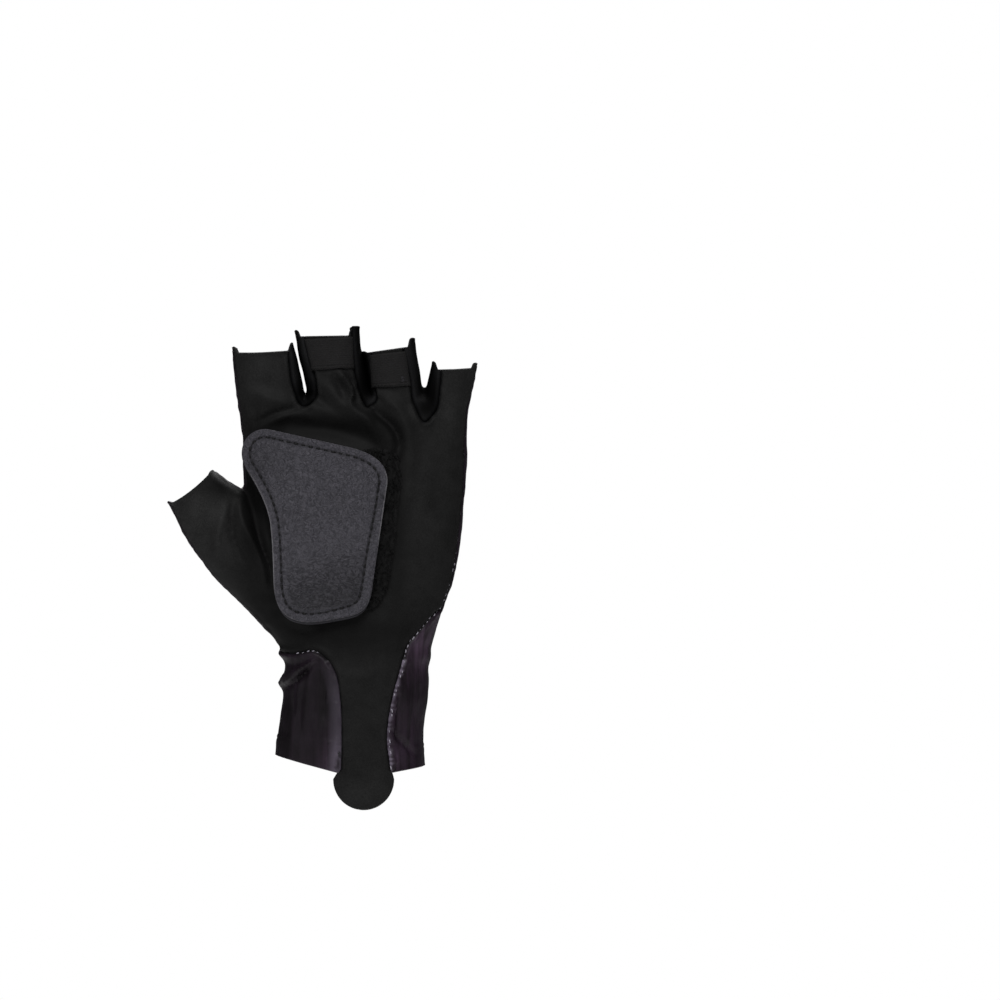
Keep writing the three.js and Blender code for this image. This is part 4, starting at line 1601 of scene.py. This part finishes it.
@dataclass
class StitchRow:
    """A row of equal stitches along a line on the cloth."""

    name: str
    material: bpy.types.Material
    slot: str
    pitch: float
    length: float
    radius: float
    sink: float = 0.1
    slant: float = 0.0  # degrees from the line's direction
    uneven: float = 0.0  # how much the stitches' sizes vary

    def _template(self) -> tuple[np.ndarray, list[tuple[int, ...]]]:
        """One stitch along X: a short thread whose ends dip into the cloth."""
        select_only(bpy.context.scene.objects[0])
        bpy.ops.mesh.primitive_cylinder_add(
            vertices=6, radius=self.radius, depth=self.length, end_fill_type="TRIFAN", rotation=(0, math.pi / 2, 0)
        )
        obj = bpy.context.object
        bpy.ops.object.transform_apply(location=False, rotation=True, scale=False)
        edit_all(obj)
        for share in (-0.3, 0.3):
            bpy.ops.mesh.select_all(action="SELECT")
            bpy.ops.mesh.bisect(plane_co=(share * self.length, 0, 0), plane_no=(1, 0, 0))
        leave_edit()
        places = coords(obj)
        ends = np.abs(places[:, 0]) / (self.length / 2)
        taper = 1 - 0.55 * smooth_step(ends, 0.55, 1.0)
        places[:, 1:] *= taper[:, None]
        places[:, 2] -= self.radius * 0.9 * smooth_step(ends, 0.5, 1.0)
        faces = [tuple(p.vertices) for p in obj.data.polygons]
        remove(obj)
        return places, faces

    def build(self, lines: Iterable[tuple[np.ndarray, np.ndarray]], jitter: float = 0.06) -> bpy.types.Object:
        """Lays stitches along lines.

        Args:
            lines: for each line its points and the cloth's outward normals there.
            jitter: unevenness of the hand of the machine, in millimetres.

        Returns:
            All stitches as one piece.
        """
        shape, faces = self._template()
        rng = np.random.default_rng(SEED)
        verts: list[np.ndarray] = []
        polygons: list[tuple[int, ...]] = []
        for points, outs in lines:
            knots = np.r_[0, np.cumsum(np.linalg.norm(np.diff(points, axis=0), axis=1))]
            for at in np.arange(self.pitch / 2, knots[-1], self.pitch):
                before, here, after = (
                    np.array([np.interp(at + d, knots, points[:, k]) for k in range(3)])
                    for d in (-self.length / 2, 0, self.length / 2)
                )
                up = np.array([np.interp(at, knots, outs[:, k]) for k in range(3)])
                up /= np.linalg.norm(up)
                along = after - before
                along -= up * (along @ up)
                along /= np.linalg.norm(along)
                side = np.cross(up, along)
                turn = math.radians(self.slant + rng.normal(0, 3))
                ahead = along * math.cos(turn) + side * math.sin(turn)
                across = np.cross(up, ahead)
                centre = here - up * self.sink + rng.normal(0, jitter, 3)
                size = 1 + self.uneven * rng.uniform(-1, 1)
                offset = len(verts) * len(shape)
                verts.append(centre + size * shape @ np.array([ahead, across, up]))
                polygons.extend(tuple(v + offset for v in face) for face in faces)
        obj = object_from(self.name, verts, polygons)
        edit_all(obj)
        bpy.ops.mesh.normals_make_consistent(inside=False)
        leave_edit()
        return hand_over(obj, self.name, self.material, crease_degrees=80)


def hit_cloth(tree: BVHTree, x: float, z: float) -> tuple[Vector, Vector] | None:
    """Where a look at the palm from the front meets the cloth, and the outward normal there."""
    place, normal, _, _ = tree.ray_cast(Vector((x, -DEEP, z)), Vector((0, 1, 0)))
    if place is None:
        return None
    return place, -normal if normal.y > 0 else normal


def on_cloth(tree: BVHTree, line: np.ndarray) -> tuple[np.ndarray, np.ndarray]:
    """Projects a line seen from the front onto the palm side.

    Args:
        tree: the cloth's faces.
        line: [x, z] points.

    Returns:
        Its points and the outward normals there.
    """
    found = [hit for x, z in line if (hit := hit_cloth(tree, x, z))]
    return np.array([place for place, _ in found]), np.array([normal for _, normal in found])


# Pad, fleece and tabs.


PAD_START = (-31.0, 132.0)
PAD_CURVES = [
    ((-0.5, 125.2),),
    ((8.6, 123.2), (16.0, 119.2), (15.4, 110.5)),
    ((9.3, 68.0),),
    ((8.4, 61.5), (5.5, 58.2), (-1.0, 57.2)),
    ((-6.0, 56.2), (-12.0, 54.9), (-16.5, 55.1)),
    ((-25.5, 55.6), (-29.4, 60.2), (-30.0, 70.0)),
    ((-30.4, 78.0), (-30.4, 86.0), (-31.4, 94.5)),
    ((-33.0, 104.0), (-38.0, 111.5), (-41.6, 117.6)),
    ((-45.4, 125.0), (-40.0, 134.0), (-31.0, 132.0)),
]
PAD_BACK = -17.9
PAD_MIDDLE = 94.0
PAD_TILT = math.radians(2.0)
BACKING_THICK = 1.2
FLANGE_THICK = 1.8
PAD_RISE = 1.7
GAP = 0.3


def pad_outline(spacing: float = 0.5) -> np.ndarray:
    """The pad's outline: straight lines and curves with handles, in even steps."""
    here = np.array(PAD_START)
    points = [here[None]]
    for stretch in PAD_CURVES:
        corners = [here, *map(np.array, stretch)]
        t = np.linspace(0, 1, 60)[1:, None]
        if len(corners) == 2:
            points.append(corners[0] + (corners[1] - corners[0]) * t)
        else:
            a, b, c, d = corners
            points.append((1 - t) ** 3 * a + 3 * (1 - t) ** 2 * t * b + 3 * (1 - t) * t**2 * c + t**3 * d)
        here = corners[-1]
    line = np.vstack(points)
    knots = np.r_[0, np.cumsum(np.linalg.norm(np.diff(line, axis=0), axis=1))]
    at = np.linspace(0, knots[-1], int(knots[-1] / spacing) + 1)[:-1]
    return np.column_stack([np.interp(at, knots, line[:, k]) for k in range(2)])


def stitch_inset(x: np.ndarray, z: np.ndarray) -> np.ndarray:
    """How far inside the pad's outline its stitches run: further at the lower right."""
    return 3.3 + 0.9 * smooth_step(x, -12.0, 6.0) * (1 - smooth_step(z, 78.0, 104.0))


def moved_in(line: np.ndarray, distance: float | np.ndarray) -> np.ndarray:
    """A closed line moved inwards by a distance, or by one for each point."""
    ahead = np.roll(line, -3, axis=0) - np.roll(line, 3, axis=0)
    out = np.column_stack([ahead[:, 1], -ahead[:, 0]]) / np.linalg.norm(ahead, axis=1)[:, None]
    area = np.sum(line[:, 0] * np.roll(line[:, 1], -1) - np.roll(line[:, 0], -1) * line[:, 1])
    return line - out * np.reshape(distance * np.sign(area), (-1, 1))


def tilt_pad(places: np.ndarray) -> np.ndarray:
    """Lays what is modelled upright, with its depth counted from the pad's back plane, onto the palm."""
    cos, sin = math.cos(PAD_TILT), math.sin(PAD_TILT)
    y, z = places[:, 1], places[:, 2] - PAD_MIDDLE
    return np.column_stack([places[:, 0], PAD_BACK + y * cos + z * sin, PAD_MIDDLE - y * sin + z * cos])


@dataclass
class PalmPad:
    """The leather pad: a flat sewn flange round a raised foam middle, and its hook backing."""

    wardrobe: Wardrobe
    shears: Shears
    mesh_size: float = 0.42
    edge_round: float = 0.7
    backing_shown: float = 1.3  # how far the backing is sewn on below the cover
    backing_sunk: float = 1.3  # how far the backing reaches into the fleece

    def _slab(self, name: str, outline: np.ndarray, near: float, far: float, size: float) -> bpy.types.Object:
        """An outline as an evenly meshed slab, upright."""
        slab = self.shears.prism(name, outline, near, far)
        slab.data.materials.clear()
        apply_modifier(slab, "REMESH", mode="VOXEL", voxel_size=size, adaptivity=0.0)
        return slab

    def _inset(self, places: np.ndarray, outline: np.ndarray) -> np.ndarray:
        """How far each place lies inside an outline."""
        tree = point_tree([(x, 0, z) for x, z in outline])
        ahead = np.roll(outline, -1, axis=0) - outline
        inside = np.zeros(len(places), bool)
        for (x0, z0), (dx, dz) in zip(outline, ahead):
            if dz == 0:
                continue
            share = (places[:, 2] - z0) / dz
            crosses = (share >= 0) & (share < 1) & (places[:, 0] < x0 + share * dx)
            inside ^= crosses
        away = np.array([tree.find((p[0], 0, p[2]))[2] for p in places])
        return np.where(inside, away, -away)

    def build_cover(self) -> bpy.types.Object:
        """The leather cover."""
        back = -BACKING_THICK - GAP
        front = back - FLANGE_THICK
        outline = pad_outline()
        pad = self._slab("pad_blank", outline, front, back, self.mesh_size)
        places = coords(pad)
        inset = np.maximum(self._inset(places, outline), 0.0)
        share = np.clip((back - places[:, 1]) / FLANGE_THICK, 0, 1)
        rounded = np.clip(inset / self.edge_round, 0, 1)
        x, z = places[:, 0], places[:, 2]
        sewn = stitch_inset(x, z)
        flange = FLANGE_THICK - 0.5 * (1 - np.sqrt(1 - (1 - rounded) ** 2))
        flange = flange + 0.1 * np.sin(np.pi * np.clip(inset / sewn, 0, 1))
        groove = 0.5 * np.exp(-(((inset - sewn) / 0.4) ** 2))
        rise = PAD_RISE * smooth_step(inset - sewn, -1.0, 8.0) ** 0.8
        uneven = 0.09 * ripple(places, 9.0, SEED + 5) * smooth_step(inset, 0.5, 3.0)
        crumpled = 0.22 * ripple(places, 4.0, SEED + 6) * smooth_step(x, 8.0, 11.0) * (1 - smooth_step(inset, 2.5, 4))
        notch = np.exp(-(((x - 14.0) / 1.6) ** 2) - ((z - 105.0 + 0.8 * (x - 14.0)) / 1.1) ** 2)
        pinch = 0.8 * notch
        places[:, 1] = back - share * (flange - groove + rise + uneven + crumpled - pinch)
        left_cut = smooth_step(-x, 27, 30) * smooth_step(z, 66, 72) * (1 - smooth_step(z, 110, 118))
        right_cut = smooth_step(x, 10, 12) * smooth_step(z, 84, 90) * (1 - smooth_step(z, 112, 118))
        cut_width = 0.25 + 0.35 * np.maximum(left_cut, 0.7 * right_cut)
        raw = (1 - smooth_step(inset, 0.4 * cut_width, cut_width)) * smooth_step(share, 0.1, 0.4)
        store(pad, "raw_edge", raw * (0.35 + 0.65 * np.maximum(left_cut, right_cut)))
        # Width of the painted shade in the stitch groove, uneven on the right; the pinched notch gets painted shade
        # too.
        groove_shade_width = 0.38 + 0.4 * smooth_step(x, 2, 10) * np.clip(ripple(places, 2.4, SEED + 8), 0, 1)
        store(pad, "groove", np.maximum(np.exp(-(((inset - sewn) / groove_shade_width) ** 2)), notch))
        puffed = smooth_step(inset, 3.0, 6.0)
        store(pad, "wrinkled", (1 - smooth_step(z - 0.3 * x, 74, 96)) * puffed)
        # Painted shade on the pad's puffed lower part and upper left, and a painted highlight on the flange's upper
        # right corner.
        low = 1 - smooth_step(z - 0.25 * x, 60, 92)
        corner = smooth_step(x, 2, 12) * smooth_step(z, 108, 120) * (1 - smooth_step(inset, 3, 6))
        shaded_upper_left = np.exp(-(((x + 36) / 9) ** 2) - ((z - 120) / 8) ** 2)
        store(pad, "shade", (1 - 0.5 * low * puffed) * (1 + 0.3 * corner) * (1 - 0.25 * shaded_upper_left))
        set_coords(pad, tilt_pad(places))
        made = hand_over(pad, "leather_pad", self.wardrobe.leather, ["pad_cover"], 65)
        return made

    def build_backing(self) -> bpy.types.Object:
        """The hook backing, a little lower than the cover, so that its edge shows below."""
        outline = moved_in(pad_outline(0.8), 0.4) - np.array([0, self.backing_shown])
        slab = self._slab("backing_blank", outline, -BACKING_THICK, self.backing_sunk, 0.7)
        places = coords(slab)
        inset = np.maximum(self._inset(places, outline), 0.0)
        share = np.clip((self.backing_sunk - places[:, 1]) / (BACKING_THICK + self.backing_sunk), 0, 1)
        places[:, 1] += share * 0.4 * (1 - np.clip(inset / 0.6, 0, 1)) ** 2
        set_coords(slab, tilt_pad(places))
        return hand_over(slab, "hook_backing", self.wardrobe.hooks, ["pad_backing"], 65)

    def build_stitches(self) -> bpy.types.Object:
        """The black stitches round the flange."""
        outline = pad_outline(0.8)
        line = moved_in(outline, stitch_inset(outline[:, 0], outline[:, 1]))
        line = np.vstack([line, line[:1]])
        depth = -BACKING_THICK - GAP - FLANGE_THICK + 0.42
        points = tilt_pad(np.column_stack([line[:, 0], np.full(len(line), depth), line[:, 1]]))
        outs = np.tile([0.0, -math.cos(PAD_TILT), math.sin(PAD_TILT)], (len(line), 1))
        row = StitchRow(
            "pad_stitches", self.wardrobe.black_thread, "pad_leather",
            pitch=3.05, length=2.1, radius=0.62, sink=-0.1, uneven=0.16,
        )  # fmt: skip
        return row.build([(points, outs)], 0.03)


PATCH = [
    (-34, 104), (-38, 114), (-38, 122), (-33, 128), (-14, 125.5), (2, 122.5), (14, 124.6), (19, 121.5), (20.6, 114),
    (19, 97), (17.6, 82), (14.8, 68), (10.6, 61.4), (0, 60), (-22, 58.5), (-27.5, 66), (-28, 88),
]  # fmt: skip


@dataclass
class LoopPatch:
    """The fleece that the pad's hooks hold: a thin ground cloth full of small loops."""

    wardrobe: Wardrobe
    shears: Shears
    stand_off: float = 1.3
    loops: int = 2600

    def build_ground(self, form: bpy.types.Object) -> bpy.types.Object:
        """The ground cloth, cut from the glove's form and lifted off it."""
        patch = copy_of(form, "patch_blank")
        cutter = self.shears.prism("patch_cutter", smooth_line(PATCH, 1.0, closed=True), -DEEP, 0)
        self.shears.cut(patch, cutter, "INTERSECT")
        self.shears.open_sheet(patch)
        remove(cutter)
        set_coords(patch, coords(patch) + normals(patch) * self.stand_off)
        apply_modifier(patch, "SOLIDIFY", thickness=self.stand_off - GAP, offset=-1.0, use_rim=True)
        return hand_over(patch, "loop_fleece", self.wardrobe.fleece, ["loop_patch"])

    def build_loops(self, ground: bpy.types.Object) -> bpy.types.Object:
        """Small bent loops that stand up from the ground cloth round the pad."""
        rng = np.random.default_rng(SEED)
        tree = face_tree(ground, MM)
        outline = smooth_line(PATCH, 1.0, closed=True)
        pad = pad_outline(1.0)
        low, high = outline.min(axis=0), outline.max(axis=0)
        verts: list[np.ndarray] = []
        faces: list[tuple[int, ...]] = []
        tries = rng.uniform(low, high, (self.loops * 8, 2))
        for x, z in tries:
            if len(verts) >= self.loops:
                break
            to_edge = np.min(np.hypot(*(outline - (x, z)).T))
            to_pad = np.min(np.hypot(*(pad - (x, z)).T))
            if to_edge > 7.5 and to_pad > 3.0:
                continue
            hit = hit_cloth(tree, x, z)
            if hit is None:
                continue
            verts.append(self._loop(np.array(hit[0]), np.array(hit[1]), rng))
            faces.extend(self._loop_faces((len(verts) - 1) * 15))
        obj = object_from("fleece_loops", verts, faces)
        return hand_over(obj, "fleece_loops", self.wardrobe.fleece, crease_degrees=80)

    def _loop(self, foot: np.ndarray, up: np.ndarray, rng: np.random.Generator) -> np.ndarray:
        """One loop: five rings of three points on a bent arch."""
        turn = rng.uniform(0, 2 * math.pi)
        side = np.cross(up, [math.cos(turn), math.sin(turn), 0.3])
        side /= np.linalg.norm(side)
        width, height, lean = rng.uniform(0.35, 0.8), rng.uniform(0.5, 1.15), rng.normal(0, 0.35, 3)
        radius = rng.uniform(0.08, 0.14)
        rings = []
        for share in np.linspace(0, 1, 5):
            bow = math.sin(math.pi * share)
            centre = foot + side * width * math.cos(math.pi * share) + (up * height + lean) * bow - up * 0.15
            ahead = -side * math.sin(math.pi * share) + up * math.cos(math.pi * share)
            across = np.cross(ahead, up + 0.2 * side)
            across /= np.linalg.norm(across) + 1e-9
            third = np.cross(ahead, across)
            third /= np.linalg.norm(third) + 1e-9
            for k in range(3):
                angle = 2 * math.pi * k / 3
                rings.append(centre + radius * (across * math.cos(angle) + third * math.sin(angle)))
        return np.array(rings)

    def _loop_faces(self, first: int) -> list[tuple[int, ...]]:
        """Faces of one loop, from its first vertex number."""
        faces = []
        for ring in range(4):
            for k in range(3):
                a, b = first + ring * 3 + k, first + ring * 3 + (k + 1) % 3
                faces.append((a, b, b + 3, a + 3))
        faces.append((first + 2, first + 1, first))
        faces.append((first + 12, first + 13, first + 14))
        return faces


@dataclass
class PullTab:
    """A band of ribbed elastic sewn over a finger's front, to pull the glove off with."""

    name: str
    node: str
    corners: tuple[Point, Point, Point, Point]  # lower left, lower right, upper right, upper left
    wardrobe: Wardrobe
    stand_off: float = 1.15
    rib_pitch: float = 0.9
    rib_height: float = 0.025
    seam_height: float = 1.3  # how far above its lower edge it is sewn down

    def _place(self, u: np.ndarray, v: np.ndarray) -> np.ndarray:
        """[x, z] places of shares across and along the tab."""
        a, b, c, d = (np.array(p)[None, :] for p in self.corners)
        u, v = u[:, None], v[:, None]
        return (1 - v) * ((1 - u) * a + u * b) + v * ((1 - u) * d + u * c)

    def _size(self) -> tuple[float, float]:
        """The tab's mean width and height."""
        a, b, c, d = map(np.array, self.corners)
        return np.linalg.norm((b + c) / 2 - (a + d) / 2), np.linalg.norm((d + c) / 2 - (a + b) / 2)

    def build(self, tree: BVHTree) -> bpy.types.Object:
        """Lays the band on the cloth.

        Args:
            tree: faces of the glove's form.

        Returns:
            The tab.
        """
        wide, tall = self._size()
        select_only(bpy.context.scene.objects[0])
        bpy.ops.mesh.primitive_grid_add(
            x_subdivisions=int(wide / 0.5), y_subdivisions=int(tall / self.rib_pitch * 6), size=2
        )
        tab = bpy.context.object
        flat = coords(tab)
        u, v = (flat[:, 0] + 1) / 2, (flat[:, 1] + 1) / 2
        spots = self._place(u, v)
        places = np.zeros((len(flat), 3))
        outs = np.zeros((len(flat), 3))
        for i, (x, z) in enumerate(spots):
            places[i], outs[i] = hit_cloth(tree, x, z)
        edge = np.minimum(np.minimum(u, 1 - u) * wide, np.minimum(v, 1 - v) * tall)
        ribs = self.rib_height * np.cos(2 * math.pi * v * tall / self.rib_pitch)
        sewn = -0.15 * np.exp(-(((v * tall - self.seam_height) / 0.35) ** 2))
        lift = self.stand_off + (ribs + sewn) * smooth_step(edge, 0.0, 0.8) - 0.35 * (1 - smooth_step(edge, 0, 0.7))
        lift = lift + 0.08 * ripple(places, 5.0, SEED + 8)
        set_coords(tab, places + outs * lift[:, None])
        edit_all(tab)
        bpy.ops.mesh.normals_make_consistent(inside=False)
        leave_edit()
        if normals(tab)[:, 1].mean() > 0:
            edit_all(tab)
            bpy.ops.mesh.flip_normals()
            leave_edit()
        apply_modifier(tab, "SOLIDIFY", thickness=0.75, offset=-1.0, use_rim=True)
        return hand_over(tab, self.name, self.wardrobe.elastic, [self.node], 60)

    def stitch_line(self, tree: BVHTree) -> tuple[np.ndarray, np.ndarray]:
        """Where the tab's lower edge is sewn down."""
        _, tall = self._size()
        points, outs = on_cloth(tree, self._place(np.linspace(0.03, 0.97, 30), np.full(30, self.seam_height / tall)))
        return points + outs * (self.stand_off - 0.2), outs


# Studio.


# Name, place, power in watts and size of each light.
LIGHTS = [
    ("key_top", (0.0, -1.2, 1.4), 22.0, 0.9),
    ("fill_left", (-1.4, -1.0, 0.4), 2.5, 0.8),
    ("back_top", (0.2, 1.0, 1.2), 26.0, 0.8),
]


@dataclass
class Studio:
    """Pale floor, soft lights and the camera at the photograph's viewing angle."""

    distance: float = 3.0
    frame_width: float = 0.4
    frame_middle: tuple[float, float] = (0.0604, 0.104)
    floor_height: float = -0.3
    world_light: float = 0.05
    palm_depth: float = -0.016  # where the photograph's scale holds

    def _light(self, name: str, place: Sequence[float], power: float, size: float) -> None:
        """A soft square light that faces the glove."""
        data = bpy.data.lights.new(name, "AREA")
        data.energy = power
        data.size = size
        light = bpy.data.objects.new(name, data)
        light.location = place
        target = Vector((0.0, 0.0, 0.09))
        light.rotation_euler = (target - Vector(place)).to_track_quat("-Z", "Y").to_euler()
        bpy.context.scene.collection.objects.link(light)

    def build(self) -> None:
        """Sets up floor, world, lights and camera."""
        scene = bpy.context.scene
        select_only(scene.objects[0])
        bpy.ops.mesh.primitive_circle_add(
            vertices=128, radius=1.2, fill_type="NGON", location=(0, 0, self.floor_height)
        )
        floor = bpy.context.object
        floor.name = "studio_floor"
        floor.data.materials.append(MattePaper().build())
        floor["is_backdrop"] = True
        world = bpy.data.worlds.new("studio_air")
        world.use_nodes = True
        tree = world.node_tree
        tree.nodes.clear()
        seen = add_node(tree, "ShaderNodeLightPath").outputs["Is Camera Ray"]
        strength = ranged(tree, seen, 0.0, 1.0, self.world_light, 1.0)
        air = add_node(tree, "ShaderNodeBackground", {"Color": (1, 1, 1, 1), "Strength": strength})
        add_node(tree, "ShaderNodeOutputWorld", {"Surface": air.outputs[0]})
        scene.world = world
        scene.view_settings.view_transform = "Standard"
        scene.view_settings.look = "None"
        for light in LIGHTS:
            self._light(*light)
        data = bpy.data.cameras.new("photo_camera")
        data.sensor_width = 36.0
        data.lens = self.distance * data.sensor_width / self.frame_width
        data.clip_end = 100.0
        camera = bpy.data.objects.new("photo_camera", data)
        x, z = self.frame_middle
        camera.location = (x, self.palm_depth - self.distance, z)
        camera.rotation_euler = (math.pi / 2, 0, 0)
        scene.collection.objects.link(camera)
        scene.camera = camera


# The glove.


BARTACKS = [((-3.9, 1.2), (-3.5, 3.4)), ((21.4, 151.4), (21.0, 153.6))]
WHITE_TOP = 84.0  # up to here white thread shows in the side seam, and grey thread above
SEWN_TOP = 128.0  # up to here the side seam's thread shows
TAB_MIDDLE = ((-14.6, 156.0), (1.4, 156.9), (0.9, 169.4), (-17.6, 168.6))
TAB_RING = ((9.6, 149.2), (24.2, 149.8), (22.2, 163.6), (8.8, 162.2))


@dataclass
class Glove:
    """The whole glove, built panel by panel."""

    wardrobe: Wardrobe = field(default_factory=Wardrobe)
    spread: Spread = field(default_factory=Spread)

    def _longest_run(self, keep: np.ndarray) -> np.ndarray:
        """Numbers of the longest unbroken run of True in a closed list."""
        count = len(keep)
        start = int(np.argmin(keep))
        order = (np.arange(count) + start) % count
        best: list[int] = []
        run: list[int] = []
        for i in order:
            run = [*run, int(i)] if keep[i] else []
            if len(run) > len(best):
                best = run
        return np.array(best, int)

    def _seam_runs(self, palm: bpy.types.Object) -> dict[str, tuple[np.ndarray, np.ndarray]]:
        """The palm panel's seams with the cuff and the back, as points and outward normals."""
        loop = np.array(loops_of(boundary(palm))[0], int)
        places, outs = coords(palm)[loop], normals(palm)[loop]
        x, z = places[:, 0], places[:, 2]
        lip = 1 - smooth_step(z, 38, 44)
        places = places + outs * (0.75 * lip)[:, None]
        right = self._longest_run((x > 12) & (z > -4.6) & (z < SEWN_TOP))
        left = self._longest_run((x < -11.4) & (z > 36.5) & (z < 46.5) & (x > -21.5))
        return {"little_side": (places[right], outs[right]), "thumb_side": (places[left], outs[left])}

    def _sew_seams(self, runs: dict[str, tuple[np.ndarray, np.ndarray]], form: bpy.types.Object) -> None:
        """White thread that shows through the seam between palm and cuff, the side seam's thread and the bartacks."""
        points, outs = runs["little_side"]
        high = points[:, 2] > WHITE_TOP
        low_run, high_run = (points[~high], outs[~high]), (points[high], outs[high])
        white, grey = self.wardrobe.white_thread, self.wardrobe.grey_thread
        row = StitchRow("white_seam_stitches", white, "stretch_fabric", 2.2, 1.15, 0.2, -0.25, 18, 0.5)
        row.build([low_run, runs["thumb_side"]], 0.16)
        row = StitchRow("side_seam_stitches", grey, "stretch_fabric", 2.2, 1.3, 0.17, -0.2, 12, 0.6)
        row.build([high_run], 0.16)
        tree = face_tree(form)
        bars = [on_cloth(tree, np.linspace(a, b, 8)) for a, b in BARTACKS]
        row = StitchRow("bartacks", grey, "tab_elastic", 0.45, 1.5, 0.16, -CLOTH, 80, 0.2)
        row.build(bars, 0.05)

    def build(self) -> None:
        """Builds every piece in order."""
        shears = Shears(self.spread)
        form = GloveForm(self.spread).build()
        shears.label(form, 0)
        trimmed = copy_of(form, "trimmed_form")
        for name in RIMS:
            cutter = shears.beyond_rim(name)
            shears.cut(trimmed, cutter, "DIFFERENCE")
            remove(cutter)
        crotches = [shears.prism(f"crotch_{name}", smooth_line(line, 0.8)) for name, line in CROTCHES.items()]
        palm_cutter = shears.palm_cutter(crotches)
        above_hem = shears.prism("above_hem", [*HEM_LINE, (60, 200), (-60, 200), (-100, 200), (-100, 3.2)])

        palm = copy_of(trimmed, "palm_blank")
        shears.cut(palm, palm_cutter, "INTERSECT")
        back = copy_of(trimmed, "back_blank")
        shears.cut(back, palm_cutter, "DIFFERENCE")
        for crotch in crotches:
            shears.cut(back, crotch, "DIFFERENCE")
        shears.cut(back, above_hem, "INTERSECT")
        strips = [copy_of(trimmed, f"strip_{name}") for name in CROTCHES]
        for strip, crotch in zip(strips, crotches):
            shears.cut(strip, crotch, "INTERSECT")
        for blank in (palm, back, *strips):
            shears.open_sheet(blank)
            self.spread.settle(blank)
        self.spread.settle(form)

        smooth = SmoothNormals(form)
        wardrobe = self.wardrobe
        palm_panel = Panel("suede_palm", wardrobe.suede, "palm_suede", "palm_panel", smooth, tones=SUEDE_SHADING)
        palm_panel.sew_edges(palm)
        runs = self._seam_runs(palm)
        palm_panel.finish(palm)

        back_panel = BackPanel(
            "stretch_back", wardrobe.stretch, "stretch_fabric", "back_panel", smooth, tones=KNIT_SHADING
        )
        back_panel.sew_edges(back)
        back_panel.fold_hem(back)
        back_panel.finish(back)

        for name, strip in zip(CROTCHES, strips):
            gusset = Gusset(
                f"gusset_strip_{name}", wardrobe.gusset, "gusset_fabric", f"gusset_{name}", smooth,
                thickness=1.0, groove=0.5, ridge=0.15, tones=GUSSET_SHADING,
            )  # fmt: skip
            gusset.sew_edges(strip)
            gusset.finish(strip)

        tree = face_tree(form)
        tabs = [
            PullTab("elastic_tab_middle", "pull_tab_middle", TAB_MIDDLE, wardrobe),
            PullTab("elastic_tab_ring", "pull_tab_ring", TAB_RING, wardrobe),
        ]
        for tab in tabs:
            tab.build(tree)
        tab_row = StitchRow("tab_stitches", wardrobe.elastic, "tab_elastic", 1.9, 1.5, 0.16, 0.0)
        tab_row.build([tab.stitch_line(tree) for tab in tabs])

        patch = LoopPatch(wardrobe, shears)
        ground = patch.build_ground(form)
        patch.build_loops(ground)
        pad = PalmPad(wardrobe, shears)
        pad.build_backing()
        pad.build_cover()
        pad.build_stitches()
        self._sew_seams(runs, form)
        remove(form, trimmed, palm_cutter, above_hem, *crotches)


def main() -> None:
    """Builds the glove and the studio and reports each piece."""
    logging.basicConfig(level=logging.INFO, format="%(message)s")
    Glove().build()
    Studio().build()
    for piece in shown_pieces():
        LOG.info("shown: %s", piece.name)


if __name__ == "__main__":
    main()
